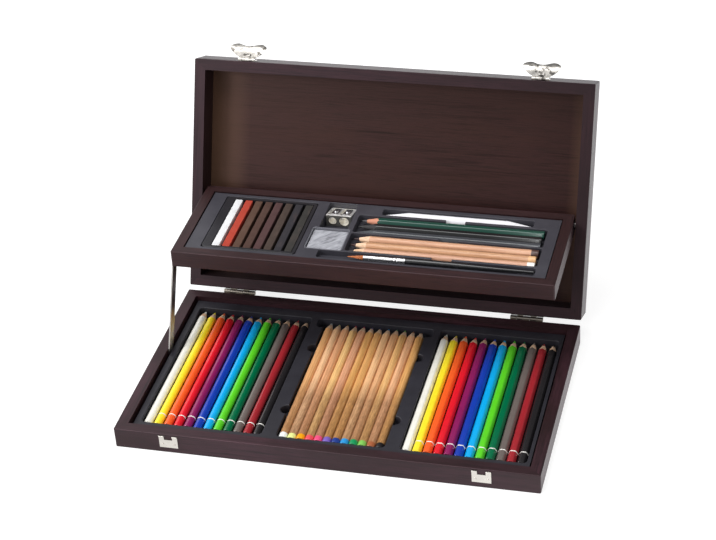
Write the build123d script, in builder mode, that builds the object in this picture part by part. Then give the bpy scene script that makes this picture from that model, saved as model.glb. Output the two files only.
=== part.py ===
"""A hinged wooden case for art materials, with a tray that rises level as the lid opens.

Millimetres. Origin at the centre of the case's underside, X to the right, Y to the back, Z up.
The case is modelled open, as it stands when in use.
"""
from build123d import *
import math
import os

# Case
box_width = 394.0
depth_beyond_pencils = 46.0
base_height = 20.5
lid_height = 31.5
rail_thickness = 10.8
corner_radius = 1.5
edge_radius = 0.7
panel_thickness = 4.0
panel_seat = 5.0
rim_gap = 0.3

# How the lid opens
open_angle = 112.8
hinge_offset = 2.8

# Tray and the linkage that carries it
side_gap = 2.2
tray_depth = 121.0
tray_height = 16.7
tray_rail = 10.0
tray_panel = 3.0
tray_seat = 4.0
pivot_ahead = 93.7
pivot_above_rim = 6.2
pivot_from_tray_back = 8.0
pivot_from_tray_bottom = 9.8
pivot_radius = 1.8
pivot_collar_radius = 3.2
pivot_collar_gap = 0.4
pivot_in_lid = 7.0
pivot_in_tray = 5.5
arm_from_tray_front = 14.7
arm_foot_below_rim = 4.0
arm_width = 11.0
arm_thickness = 1.2
arm_wall_gap = 0.4
rivet_radius = 1.5
rivet_head_radius = 3.0
rivet_head_thickness = 0.4
rivet_shoulder_radius = 2.6
rivet_in_wood = 6.0

# Clearances
running_fit = 0.05
snug_fit = 0.02
seat_gap = 0.1
insert_gap = 0.5

# Base insert and the three rows of pencils
sheet = 1.2
rim_to_insert = 5.1
pencil_below_insert = 0.6
rows_side_room = 2.6
row_shift = 1.4
least_land = 6.0
notch_land = 14.0
pencil_length = 181.0
pencil_ends_at = 22.75
pencil_cone = 12.0
point_radius = 0.6
coloured_diameter = 8.0
coloured_pitch = 9.5
natural_diameter = 8.1
natural_pitch = 8.2
well_margin = 1.3
well_behind_tips = 1.25
well_before_ends = 1.6
well_corner = 4.0
trough_length = 13.5
insert_edge_radius = 0.7
notch_radius = 6.2
notch_from_ends = (38.0, 134.5)

# Tray insert and what lies in it
tray_insert_drop = 1.0
tray_insert_gap = 1.0
tray_insert_edge_radius = 0.4
chalk_size = 7.2
chalk_pitch = 10.25
chalk_left_land = 15.55
chalk_end_land = 5.5
chalk_box_end_walls = 8.0
chalk_box_side_walls = 10.5
chalk_shift = 2.65
chalk_box_height = 11.4
chalk_box_floor = 3.8
chalk_box_corner = 4.0
chalk_end_room = 1.5
chalk_rib_height = 2.5
eraser_case_width = 37.0
eraser_case_depth = 37.0
eraser_case_height = 11.0
eraser_wall = 1.0
eraser_height = 8.0
eraser_centre_y = 46.5
column_land = 2.5
sharpener_width = 25.0
sharpener_length = 24.0
sharpener_height = 12.8
sharpener_low_end = 6.0
sharpener_shift = 1.5
sharpener_from_tray_back = 36.4
sharpener_side_room = 1.5
sharpener_hole_length = 18.5
sharpener_hole_far_radius = 1.0
small_hole = (-6.2, 4.0)
large_hole = (5.2, 4.8)
blade_slot_width = 4.1
blade_width = 8.6
blade_length = 17.0
blade_thickness = 0.6
blade_screw_radius = 2.4
blade_screw_height = 0.9
sketch_right_land = 11.5
sketch_first_row = 34.0
sketch_pitch = 10.5
sketch_diameter = 7.8
sketch_length = 178.0
sketch_cone = 16.0
sketch_tip_room = 2.2
sketch_end_room = 3.3
sketch_side_room = 0.8
group_gap = 0.5
stump_diameter = 9.5
stump_length = 146.0
stump_cone = 24.0
stump_from_well_left = 95.0
stump_from_tray_back = 21.0
stump_land = 3.2
brush_row = 22.5
brush_slot_front_room = 8.1
brush_slot_back_room = 4.2
brush_slot_depth = 5.7
brush_slot_lead = 24.0
brush_tip_lead = 4.5
brush_hair_length = 16.0
brush_hair_radius = 2.5
brush_ferrule_length = 40.0
brush_ferrule_radius = 3.0
brush_handle_length = 121.0
brush_handle_radius = 3.5
brush_end_radius = 1.7
channel_from_well_left = 94.0
channel_width = 19.0
tray_item_corner = 2.5

# Hinges
hardware_inset = 52.5
hinge_length = 32.0
hinge_knuckles = 5
knuckle_gap = 0.3
hinge_knuckle_radius = 2.2
hinge_pin_radius = 1.1
leaf_height = 12.0
leaf_start = 2.6
leaf_thickness = 0.9
screw_spread = 19.0
screw_radius = 1.0
screw_head_radius = 2.0
screw_length = 7.0

# Latches and keepers
latch_width = 16.5
latch_offset = 1.7
latch_above_rim = 1.9
latch_knuckle_radius = 1.6
latch_knuckle_width = 3.0
latch_pin_radius = 0.7
latch_plate_top = 13.0
latch_plate_thickness = 0.8
latch_open_angle = 106.0
lever_thickness = 0.9
lever_straight = 7.0
lever_curl_radius = 10.5
lever_curl_angle = 75.0
lever_half_span = 18.2
lever_shoulder = 2.4
lever_widest = 12.2
lever_lobe = (11.0, 16.4)
lever_dip = 13.9
tongue_width = 6.6
tongue_reach = 1.9
tongue_top = 3.4
tongue_height = 2.2
keeper_width = 17.5
keeper_height = 13.0
keeper_below_rim = 1.3
keeper_thickness = 0.8
keeper_notch_width = 7.8
keeper_notch_depth = 4.3
keeper_hook_out = 1.1
keeper_hook_height = 1.0
nail_radius = 0.5
nail_head_radius = 1.1
nail_head_height = 0.4
nail_length = 6.0
keeper_nail_spread = 11.0
keeper_nail_height = 3.6
latch_nail_spread = 9.0
latch_nail_drop = 3.2

# Sizes that follow from the ones above
box_depth = pencil_length + depth_beyond_pencils
front_y = -box_depth / 2
hinge_y = box_depth / 2 + hinge_offset
swing = math.radians(open_angle)
wall_x = box_width / 2 - rail_thickness
tray_width = 2 * (wall_x - side_gap)
hardware_x = box_width / 2 - hardware_inset
lid_front = -(hinge_offset + box_depth)
lid_centre = -(hinge_offset + box_depth / 2)
link_y = pivot_ahead * -math.cos(swing) + pivot_above_rim * math.sin(swing)
link_z = pivot_ahead * math.sin(swing) + pivot_above_rim * math.cos(swing)
pivot_from_tray_front = tray_depth - pivot_from_tray_back
arm_foot_ahead = pivot_from_tray_front - arm_from_tray_front
insert_depth = box_depth - 2 * rail_thickness - 2 * insert_gap
insert_height = base_height - rim_to_insert - panel_thickness
pencil_top = base_height - rim_to_insert - pencil_below_insert
well_floor = pencil_top - coloured_diameter - seat_gap
pencil_start = front_y + pencil_ends_at
row_spacing = (tray_width - rows_side_room) / 3
row_room = row_spacing - least_land - 2 * well_margin
coloured_count = math.floor((row_room - coloured_diameter) / coloured_pitch) + 1
natural_count = math.floor((row_room - notch_land - natural_diameter) / natural_pitch) + 1
tray_insert_height = tray_height - tray_panel - tray_insert_drop
tray_insert_top = tray_height - tray_insert_drop
tray_sheet_floor = tray_panel + sheet
tray_wall_x = tray_width / 2
tray_inner_width = tray_width - 2 * tray_rail - 2 * tray_insert_gap
tray_inner_depth = tray_depth - 2 * tray_rail - 2 * tray_insert_gap
sketch_well_right = tray_wall_x - tray_rail - sketch_right_land
sketch_well_left = sketch_well_right - sketch_length - sketch_tip_room - sketch_end_room
eraser_x = sketch_well_left - column_land - eraser_case_width / 2
stump_centre = (sketch_well_left + stump_from_well_left, tray_depth - stump_from_tray_back)
chalk_box_left = -tray_wall_x + tray_rail + chalk_left_land
chalk_room = eraser_x - eraser_case_width / 2 - column_land - chalk_box_left - chalk_box_side_walls
chalk_count = math.floor(chalk_room / chalk_pitch)
chalk_box_width = chalk_count * chalk_pitch + chalk_box_side_walls
chalk_box_depth = tray_depth - 2 * tray_rail - 2 * chalk_end_land
chalk_length = chalk_box_depth - chalk_box_end_walls
chalk_box_centre = (chalk_box_left + chalk_box_width / 2, tray_depth / 2)

# The frames: the base, the lid about its hinges, the tray about its pivots
base_frame = Plane.XY
hinge_frame = Plane(origin=(0, hinge_y, base_height))
lid_up = (0, math.sin(swing), math.cos(swing))
lid_frame = Plane(origin=(0, hinge_y, base_height), x_dir=(1, 0, 0), z_dir=lid_up)
tray_frame = Plane(origin=(0, hinge_y + link_y, base_height + link_z))

os.makedirs("parts", exist_ok=True)


def in_frame(frame, origin=(0, 0, 0), x_dir=(1, 0, 0), z_dir=(0, 0, 1)):
    """A plane given in a frame's own coordinates."""
    return Plane(frame.location * Plane(origin=origin, x_dir=x_dir, z_dir=z_dir).location)


def on_tray(x, y, z, x_dir=(1, 0, 0), z_dir=(0, 0, 1)):
    """A plane measured from the tray's front edge and underside."""
    origin = (x, y - pivot_from_tray_front, z - pivot_from_tray_bottom)
    return in_frame(tray_frame, origin, x_dir, z_dir)


def save(piece, name):
    """Labels a finished piece and writes it."""
    piece.part.label = name
    export_step(piece.part, f"parts/{name}.step")


# Rails and panels

def rail_sides(frame, width, depth, centre_y, low):
    """Each rail's plane (X along its outer edge, Y inward), its length and the size across the case."""
    front, back = centre_y - depth / 2, centre_y + depth / 2
    left, right = -width / 2, width / 2
    return {
        "front": (in_frame(frame, (left, front, low), (1, 0, 0)), width, depth),
        "right": (in_frame(frame, (right, front, low), (0, 1, 0)), depth, width),
        "back": (in_frame(frame, (right, back, low), (-1, 0, 0)), width, depth),
        "left": (in_frame(frame, (left, back, low), (0, -1, 0)), depth, width),
    }


def mitred_rail(side, thickness, height, seat_low, seat_height, seat_deep, holes):
    """A rail with mitred ends, eased outer edges, a rebate for the panel and drilled holes."""
    plane, length, across = side
    with BuildPart() as rail:
        with BuildSketch(plane):
            with BuildLine():
                Polyline(
                    (0, 0), (length, 0), (length - thickness, thickness), (thickness, thickness), close=True
                )
            make_face()
        extrude(amount=height)
        with BuildSketch(plane):
            with Locations((length / 2, across / 2)):
                RectangleRounded(length, across, corner_radius)
        extrude(amount=height, mode=Mode.INTERSECT)
        outer = []
        for edge in rail.edges():
            middle = plane.to_local_coords(edge @ 0.5)
            on_rim = min(abs(middle.Z), abs(middle.Z - height)) < 0.01
            if on_rim and middle.Y < thickness / 4:
                outer.append(edge)
        fillet(outer, edge_radius)
        with BuildSketch(plane.offset(seat_low)):
            with Locations((length / 2, thickness)):
                Rectangle(length, 2 * seat_deep)
        extrude(amount=seat_height, mode=Mode.SUBTRACT)
        for hole_plane, radius, deep in holes:
            with BuildSketch(hole_plane):
                Circle(radius)
            extrude(amount=-deep, mode=Mode.SUBTRACT)
    return rail


def case_panel(plane, width, depth, thickness):
    """A flat panel glued into the rails' rebates."""
    with BuildPart() as panel:
        with BuildSketch(plane):
            Rectangle(width, depth)
        extrude(amount=thickness)
    return panel


def outward(frame, x, y, z):
    """A plane on a left or right wall, facing the middle of the case."""
    return in_frame(frame, (x, y, z), (0, 1, 0), (-math.copysign(1, x), 0, 0))


def nail_planes(frame, face, x, spread, z):
    """Two planes on a front face, one for each nail."""
    return [in_frame(frame, (x + s * spread / 2, face, z), (1, 0, 0), (0, -1, 0)) for s in (-1, 1)]


def screw_planes(frame, x, side):
    """Two planes on a hinge leaf's outer face, one for each screw."""
    z = side * (leaf_start + leaf_height / 2)
    face = leaf_thickness - hinge_offset
    return [in_frame(frame, (x + s * screw_spread / 2, face, z), (1, 0, 0), (0, 1, 0)) for s in (-1, 1)]


hardware_places = {"left": -hardware_x, "right": hardware_x}
keeper_z = base_height - keeper_below_rim - keeper_height
keeper_nail_z = keeper_z + keeper_nail_height
latch_nail_z = latch_plate_top - latch_nail_drop

keeper_nail_places = []
latch_nail_places = []
base_screw_places = []
lid_screw_places = []
for x in hardware_places.values():
    keeper_face = front_y - keeper_thickness
    latch_face = lid_front - latch_plate_thickness
    keeper_nail_places += nail_planes(base_frame, keeper_face, x, keeper_nail_spread, keeper_nail_z)
    latch_nail_places += nail_planes(lid_frame, latch_face, x, latch_nail_spread, latch_nail_z)
    base_screw_places += screw_planes(hinge_frame, x, -1)
    lid_screw_places += screw_planes(lid_frame, x, 1)

nail_bore = nail_radius + snug_fit
screw_bore = screw_radius + snug_fit
arm_foot = (hinge_y - arm_foot_ahead, base_height - arm_foot_below_rim)
foot_hole = (outward(base_frame, -wall_x, *arm_foot), rivet_radius + snug_fit, rivet_in_wood)
base_holes = {
    "front": [(place, nail_bore, keeper_thickness + nail_length) for place in keeper_nail_places],
    "back": [(place, screw_bore, screw_length) for place in base_screw_places],
    "left": [foot_hole],
    "right": [],
}
pivot_bore = pivot_radius + snug_fit
lid_holes = {
    "front": [(place, nail_bore, latch_plate_thickness + nail_length) for place in latch_nail_places],
    "back": [(place, screw_bore, screw_length) for place in lid_screw_places],
    "left": [(outward(lid_frame, -wall_x, -pivot_ahead, pivot_above_rim), pivot_bore, pivot_in_lid)],
    "right": [(outward(lid_frame, wall_x, -pivot_ahead, pivot_above_rim), pivot_bore, pivot_in_lid)],
}
base_sides = rail_sides(base_frame, box_width, box_depth, 0, 0)
for side, place in base_sides.items():
    base_rail = mitred_rail(
        place, rail_thickness, base_height, 0, panel_thickness, panel_seat, base_holes[side]
    )
    save(base_rail, f"base_{side}_rail")

lid_sides = rail_sides(lid_frame, box_width, box_depth, lid_centre, rim_gap)
lid_rail_height = lid_height - rim_gap
for side, place in lid_sides.items():
    lid_rail = mitred_rail(
        place, rail_thickness, lid_rail_height, lid_rail_height - panel_thickness, panel_thickness,
        panel_seat, lid_holes[side],
    )
    save(lid_rail, f"lid_{side}_rail")

panel_inset = 2 * (rail_thickness - panel_seat)
base_bottom = case_panel(base_frame, box_width - panel_inset, box_depth - panel_inset, panel_thickness)
save(base_bottom, "base_bottom_panel")
lid_panel_plane = in_frame(lid_frame, (0, lid_centre, lid_height - panel_thickness))
lid_top = case_panel(lid_panel_plane, box_width - panel_inset, box_depth - panel_inset, panel_thickness)
save(lid_top, "lid_panel")

# Tray rails: the side rails are drilled for the pivots, the left one also for the arm's rivet
pivot_hole = pivot_radius + running_fit
arm_top_y = pivot_from_tray_front - arm_foot_ahead
arm_top_z = pivot_from_tray_bottom - arm_foot_below_rim
arm_top_face = on_tray(-tray_wall_x, arm_top_y, arm_top_z, (0, 1, 0), (-1, 0, 0))
arm_top_hole = (arm_top_face, rivet_radius + snug_fit, rivet_in_wood)
tray_pivot_holes = {}
for side, x in {"left": -tray_wall_x, "right": tray_wall_x}.items():
    face = on_tray(x, pivot_from_tray_front, pivot_from_tray_bottom, (0, 1, 0), (math.copysign(1, x), 0, 0))
    tray_pivot_holes[side] = [(face, pivot_hole, pivot_in_tray + seat_gap)]
tray_pivot_holes["left"].append(arm_top_hole)
tray_pivot_holes["front"] = []
tray_pivot_holes["back"] = []
tray_centre = tray_depth / 2 - pivot_from_tray_front
tray_sides = rail_sides(tray_frame, tray_width, tray_depth, tray_centre, -pivot_from_tray_bottom)
for side, place in tray_sides.items():
    tray_rail_piece = mitred_rail(
        place, tray_rail, tray_height, 0, tray_panel, tray_seat, tray_pivot_holes[side]
    )
    save(tray_rail_piece, f"tray_{side}_rail")
tray_inset = 2 * (tray_rail - tray_seat)
tray_bottom = case_panel(
    on_tray(0, tray_depth / 2, 0), tray_width - tray_inset, tray_depth - tray_inset, tray_panel
)
save(tray_bottom, "tray_bottom_panel")

# Pencils

with BuildPart() as round_pencil:
    with BuildSketch(Plane.XY):
        with BuildLine():
            Polyline(
                (0, 0), (coloured_diameter / 2, 0), (coloured_diameter / 2, pencil_length - pencil_cone),
                (point_radius, pencil_length), (0, pencil_length), close=True,
            )
        make_face()
    revolve(axis=Axis.Y)

with BuildPart() as natural_pencil:
    with BuildSketch(Plane.XY):
        with BuildLine():
            Polyline(
                (0, 0), (natural_diameter / 2, 0), (natural_diameter / 2, pencil_length - pencil_cone),
                (point_radius, pencil_length), (0, pencil_length), close=True,
            )
        make_face()
    revolve(axis=Axis.Y)


def six_sided_pencil(across_flats, length, cone):
    """A six-sided pencil along Y, lying on a flat, with its point at the far end."""
    corner = across_flats / math.sqrt(3)
    with BuildPart() as pencil:
        with BuildSketch(Plane.ZX):
            RegularPolygon(corner, 6, rotation=30)
        extrude(amount=length)
        with BuildSketch(Plane.XY):
            with BuildLine():
                Polyline(
                    (0, 0), (across_flats, 0), (across_flats, length - cone),
                    (corner, length - cone), (point_radius, length), (0, length), close=True,
                )
            make_face()
        revolve(axis=Axis.Y, mode=Mode.INTERSECT)
    return pencil


def pencil_row(pencil, centre_x, count, pitch, diameter):
    """A row of like pencils side by side in the base."""
    first = centre_x - pitch * (count - 1) / 2
    axis_z = well_floor + seat_gap + diameter / 2
    with BuildPart() as row:
        with Locations([(first + i * pitch, pencil_start, axis_z) for i in range(count)]):
            add(pencil.part)
    return row


rows = {"left": row_shift - row_spacing, "middle": row_shift, "right": row_shift + row_spacing}
coloured_row = (coloured_count, coloured_pitch, coloured_diameter)
natural_row = (natural_count, natural_pitch, natural_diameter)
hexagonal = six_sided_pencil(coloured_diameter, pencil_length, pencil_cone)
save(pencil_row(round_pencil, rows["left"], *coloured_row), "round_colour_pencils")
save(pencil_row(natural_pencil, rows["middle"], *natural_row), "natural_pencils")
save(pencil_row(hexagonal, rows["right"], *coloured_row), "six_sided_colour_pencils")

# Base insert: a formed sheet with a well for each row and finger notches beside the middle one

well_front = pencil_start - well_before_ends
well_back = pencil_start + pencil_length + well_behind_tips
well_length = well_back - well_front
well_y = (well_front + well_back) / 2
coloured_well = coloured_pitch * (coloured_count - 1) + coloured_diameter + 2 * well_margin
natural_well = natural_pitch * (natural_count - 1) + natural_diameter + 2 * well_margin
well_depth = base_height - rim_to_insert - well_floor


def draw_base_wells(grow, mode):
    """The outlines of the three wells, the trough behind the middle tips and the notches."""
    for name, centre in rows.items():
        width = natural_well if name == "middle" else coloured_well
        with Locations((centre, well_y)):
            RectangleRounded(width + 2 * grow, well_length + 2 * grow, well_corner + grow, mode=mode)
    with Locations((rows["middle"], well_back - trough_length / 2)):
        RectangleRounded(coloured_well + 2 * grow, trough_length + 2 * grow, well_corner + grow, mode=mode)
    for side in (-1, 1):
        for along in notch_from_ends:
            with Locations((rows["middle"] + side * natural_well / 2, pencil_start + along)):
                Circle(notch_radius + grow, mode=mode)


with BuildPart() as base_insert:
    seat = base_frame.offset(panel_thickness)
    with BuildSketch(seat):
        Rectangle(tray_width, insert_depth)
    extrude(amount=insert_height)
    with BuildSketch(seat):
        Rectangle(tray_width - 2 * sheet, insert_depth - 2 * sheet)
        draw_base_wells(sheet, Mode.SUBTRACT)
    extrude(amount=insert_height - sheet, mode=Mode.SUBTRACT)
    with BuildSketch(seat):
        Rectangle(tray_width - 2 * sheet, insert_depth - 2 * sheet)
    extrude(amount=well_floor - sheet - panel_thickness, mode=Mode.SUBTRACT)
    with BuildSketch(seat.offset(insert_height)):
        draw_base_wells(0, Mode.ADD)
    extrude(amount=-well_depth, mode=Mode.SUBTRACT)
    fillet(base_insert.faces().sort_by(Axis.Z)[-1].inner_wires().edges(), insert_edge_radius)
    for name, centre in rows.items():
        count, pitch, _ = natural_row if name == "middle" else coloured_row
        ridge_height = pitch / 5
        ridge_length = pencil_length - pencil_cone - 2 * well_before_ends
        ridge_start = (centre, pencil_start + well_before_ends, well_floor)
        ridge_plane = Plane(origin=ridge_start, x_dir=(-1, 0, 0), z_dir=(0, 1, 0))
        with BuildSketch(ridge_plane):
            with GridLocations(pitch, 0, count - 1, 1):
                Trapezoid(pitch / 2, ridge_height, 49, align=(Align.CENTER, Align.MIN))
        extrude(amount=ridge_length)
save(base_insert, "base_insert")

# Hinges: a leaf on the back of the base and one on the lid, and a pin through their knuckles

knuckle_pitch = hinge_length / hinge_knuckles
knuckle_width = knuckle_pitch - knuckle_gap


def hinge_leaf(frame, x, side, knuckles):
    """A leaf on a back face, below the hinge axis for side -1 and above it for side 1."""
    with BuildPart() as leaf:
        low = -leaf_start - leaf_height if side < 0 else leaf_start
        face = in_frame(frame, (x, -hinge_offset, low), (1, 0, 0), (0, 0, 1))
        with BuildSketch(face):
            with Locations((0, leaf_thickness / 2)):
                Rectangle(hinge_length - knuckle_gap, leaf_thickness)
        extrude(amount=leaf_height)
        corners = leaf.edges().filter_by(
            lambda edge: abs(edge.length - leaf_thickness) < 0.01
            and abs(frame.to_local_coords(edge @ 0.5).Z) > leaf_start + leaf_height / 2
        )
        fillet(corners, leaf_thickness)
        for knuckle in knuckles:
            start = x - hinge_length / 2 + knuckle * knuckle_pitch + knuckle_gap / 2
            end_plane = in_frame(frame, (start, 0, 0), (0, 1, 0), (1, 0, 0))
            with BuildSketch(end_plane):
                Circle(hinge_knuckle_radius)
                web_reach = leaf_start + leaf_thickness - rim_gap
                with Locations((leaf_thickness / 2 - hinge_offset, side * (rim_gap + web_reach / 2))):
                    Rectangle(leaf_thickness, web_reach)
                Circle(hinge_pin_radius + running_fit, mode=Mode.SUBTRACT)
            extrude(amount=knuckle_width)
        sink_angle = 2 * math.degrees(math.atan((screw_head_radius - screw_radius) / leaf_thickness))
        with Locations(screw_planes(frame, x, side)):
            CounterSinkHole(screw_bore, screw_head_radius + snug_fit, leaf_thickness, sink_angle)
    return leaf


def flat_head_screws(places):
    """Slotted screws whose heads lie flush in a leaf."""
    with BuildPart() as screws:
        with Locations(places):
            Cylinder(screw_radius, screw_length, align=(Align.CENTER, Align.CENTER, Align.MAX))
            Cone(
                screw_radius, screw_head_radius, leaf_thickness - seat_gap / 2,
                align=(Align.CENTER, Align.CENTER, Align.MAX),
            )
            Box(
                2 * screw_head_radius, screw_radius / 2, leaf_thickness / 2,
                align=(Align.CENTER, Align.CENTER, Align.CENTER), mode=Mode.SUBTRACT,
            )
    return screws


for side, x in hardware_places.items():
    save(hinge_leaf(hinge_frame, x, -1, (0, 2, 4)), f"hinge_{side}_base_leaf")
    save(hinge_leaf(lid_frame, x, 1, (1, 3)), f"hinge_{side}_lid_leaf")
    with BuildPart() as hinge_pin:
        with BuildSketch(in_frame(hinge_frame, (x - hinge_length / 2, 0, 0), (0, 1, 0), (1, 0, 0))):
            Circle(hinge_pin_radius)
        extrude(amount=hinge_length)
    save(hinge_pin, f"hinge_{side}_pin")
save(flat_head_screws(base_screw_places), "base_hinge_screws")
save(flat_head_screws(lid_screw_places), "lid_hinge_screws")

# Keepers: a plate with two hooked ears and a notch between them

def keeper(x):
    """The plate on the base's front that a latch snaps over."""
    with BuildPart() as plate:
        top = keeper_z + keeper_height
        with BuildSketch(in_frame(base_frame, (x - keeper_width / 2, front_y, 0), (0, 1, 0), (1, 0, 0))):
            with BuildLine():
                out = -keeper_thickness - keeper_hook_out
                under = top - keeper_hook_height
                Polyline(
                    (0, keeper_z), (-keeper_thickness, keeper_z), (-keeper_thickness, under), (out, under),
                    (out, top), (0, top), close=True,
                )
            make_face()
        extrude(amount=keeper_width)
        with BuildSketch(in_frame(base_frame, (x, front_y, top), (1, 0, 0), (0, -1, 0))):
            with Locations((0, -keeper_notch_depth / 2)):
                Rectangle(keeper_notch_width, keeper_notch_depth)
        extrude(amount=2 * (keeper_thickness + keeper_hook_out), mode=Mode.SUBTRACT)
        ear_ends = plate.edges().filter_by(Axis.X).sort_by(Axis.Y)[:4]
        fillet(ear_ends, keeper_hook_height / 3)
        face = front_y - keeper_thickness
        with Locations(nail_planes(base_frame, face, x, keeper_nail_spread, keeper_nail_z)):
            Hole(nail_bore, keeper_thickness)
    return plate


def nails(places, plate_thickness):
    """Round-headed nails that hold a plate to the wood."""
    with BuildPart() as group:
        for place in places:
            with BuildSketch(place):
                Circle(nail_radius)
            extrude(amount=-plate_thickness - nail_length)
            with BuildSketch(place):
                Circle(nail_head_radius)
            extrude(amount=nail_head_height, taper=20)
    return group


for side, x in hardware_places.items():
    save(keeper(x), f"keeper_{side}")
save(nails(keeper_nail_places, keeper_thickness), "keeper_nails")
save(nails(latch_nail_places, latch_plate_thickness), "latch_nails")

# Latches: a plate on the lid's front with two knuckles, a pin, and a flared lever between them

latch_pin_y = lid_front - latch_offset
latch_gap = knuckle_gap


def latch_plate(x):
    """The fixed half of a latch."""
    with BuildPart() as plate:
        plate_low = latch_above_rim + latch_knuckle_radius + latch_gap
        with BuildSketch(in_frame(lid_frame, (x, lid_front, plate_low), (1, 0, 0), (0, -1, 0))):
            with Locations((0, (latch_plate_top - plate_low) / 2)):
                Rectangle(latch_width, latch_plate_top - plate_low)
        extrude(amount=latch_plate_thickness)
        top_corners = plate.edges().filter_by(
            lambda edge: abs(edge.length - latch_plate_thickness) < 0.01
            and lid_frame.to_local_coords(edge @ 0.5).Z > plate_low + latch_gap
        )
        fillet(top_corners, 2 * latch_plate_thickness)
        for end in (-latch_width / 2, latch_width / 2 - latch_knuckle_width):
            side_plane = in_frame(lid_frame, (x + end, latch_pin_y, latch_above_rim), (0, 1, 0), (1, 0, 0))
            with BuildSketch(side_plane):
                Circle(latch_knuckle_radius)
                web = plate_low - latch_above_rim + latch_gap
                with Locations((latch_offset - latch_plate_thickness / 2, web / 2)):
                    Rectangle(latch_plate_thickness, web)
                Circle(latch_pin_radius + snug_fit, mode=Mode.SUBTRACT)
            extrude(amount=latch_knuckle_width)
        face = lid_front - latch_plate_thickness
        with Locations(nail_planes(lid_frame, face, x, latch_nail_spread, latch_nail_z)):
            Hole(nail_bore, latch_plate_thickness)
    return plate


def latch_lever(x):
    """The moving half: a butterfly-shaped bill that curls outward, and a tongue for the keeper's notch.

    It is drawn hanging over the keeper, in a frame turned about the latch's pin to where it stands.
    """
    turn = math.radians(-latch_open_angle)
    pivot = in_frame(
        lid_frame, (x, latch_pin_y, latch_above_rim), (1, 0, 0), (0, -math.sin(turn), math.cos(turn))
    )
    knuckle = latch_width - 2 * (latch_knuckle_width + latch_gap)
    outer = latch_knuckle_radius
    inner = outer - lever_thickness
    curl = lever_curl_radius
    with BuildPart() as lever:
        with BuildSketch(in_frame(pivot, (0, 0, 0), (0, 1, 0), (1, 0, 0))):
            with BuildLine():
                centre = (-outer - curl, -lever_straight)
                outer_arc = CenterArc(centre, curl, 0, -lever_curl_angle)
                inner_arc = CenterArc(centre, curl + lever_thickness, 0, -lever_curl_angle)
                Line(outer_arc @ 1, inner_arc @ 1)
                Polyline(outer_arc @ 0, (-outer, 0), (-inner, 0), inner_arc @ 0)
            make_face()
        extrude(amount=lever_half_span + lever_thickness, both=True)
        with BuildSketch(in_frame(pivot, (0, 0, 0), (1, 0, 0), (0, -1, 0))):
            with BuildLine():
                neck_top = Polyline(
                    (0, outer), (knuckle / 2, outer), (knuckle / 2, -outer - latch_gap),
                    (latch_width / 2, -outer - latch_gap), (latch_width / 2, -lever_shoulder),
                )
                tip_start = (lever_half_span - 0.7, 2 - lever_widest)
                tip_end = (lever_half_span - 1.7, -2.4 - lever_widest)
                flare = Spline(neck_top @ 1, tip_start, tangents=[(1, -0.45), (0.6, -1)])
                tip = ThreePointArc(flare @ 1, (lever_half_span, -lever_widest), tip_end)
                lobe = (lever_lobe[0], -lever_lobe[1])
                Spline(tip @ 1, lobe, (0, -lever_dip), tangents=[(-1, -0.9), (-1, 0)])
                mirror(about=Plane.YZ)
            make_face()
        extrude(amount=3 * curl, both=True, mode=Mode.INTERSECT)
        with BuildSketch(in_frame(pivot, (-knuckle / 2, 0, 0), (0, 1, 0), (1, 0, 0))):
            Circle(latch_knuckle_radius)
        extrude(amount=knuckle)
        with BuildSketch(in_frame(pivot, (0, -inner, -tongue_top), (1, 0, 0), (0, 1, 0))):
            with Locations((0, tongue_height / 2)):
                Rectangle(tongue_width, tongue_height)
        extrude(amount=tongue_reach)
        with BuildSketch(in_frame(pivot, (-knuckle / 2, 0, 0), (0, 1, 0), (1, 0, 0))):
            Circle(latch_pin_radius + running_fit)
        extrude(amount=knuckle, mode=Mode.SUBTRACT)
    return lever


for side, x in hardware_places.items():
    save(latch_plate(x), f"latch_{side}_plate")
    save(latch_lever(x), f"latch_{side}_lever")
    with BuildPart() as latch_pin:
        pin_end = (x - latch_width / 2, latch_pin_y, latch_above_rim)
        with BuildSketch(in_frame(lid_frame, pin_end, (0, 1, 0), (1, 0, 0))):
            Circle(latch_pin_radius)
        extrude(amount=latch_width)
    save(latch_pin, f"latch_{side}_pin")

# The linkage: pivot pins in the lid carry the tray's back, a flat bar on the left carries its front

for side, x in {"left": -wall_x, "right": wall_x}.items():
    with BuildPart() as pivot_pin:
        wall = outward(lid_frame, x, -pivot_ahead, pivot_above_rim)
        with BuildSketch(wall.offset(-pivot_in_lid)):
            Circle(pivot_radius)
        extrude(amount=pivot_in_lid + side_gap + pivot_in_tray)
        with BuildSketch(wall):
            Circle(pivot_collar_radius)
        extrude(amount=side_gap - pivot_collar_gap)
    save(pivot_pin, f"tray_pivot_pin_{side}")

arm_length = math.hypot(link_y, link_z)
arm_x = -wall_x + arm_wall_gap
recess = rivet_head_thickness + 1.5 * seat_gap
arm_direction = (0, link_y / arm_length, link_z / arm_length)
arm_plane = in_frame(base_frame, (arm_x, *arm_foot), arm_direction, (1, 0, 0))
with BuildPart() as support_arm:
    with BuildSketch(arm_plane):
        with Locations((arm_length / 2, 0)):
            SlotCenterToCenter(arm_length, arm_width)
        with Locations((0, 0), (arm_length, 0)):
            Circle(rivet_radius + running_fit, mode=Mode.SUBTRACT)
    extrude(amount=arm_thickness)
    with BuildSketch(arm_plane.offset(arm_thickness)):
        Circle(rivet_head_radius + running_fit)
    extrude(amount=-recess, mode=Mode.SUBTRACT)
    with BuildSketch(arm_plane):
        with Locations((arm_length, 0)):
            Circle(rivet_head_radius + running_fit)
    extrude(amount=recess, mode=Mode.SUBTRACT)
save(support_arm, "support_arm")


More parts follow.
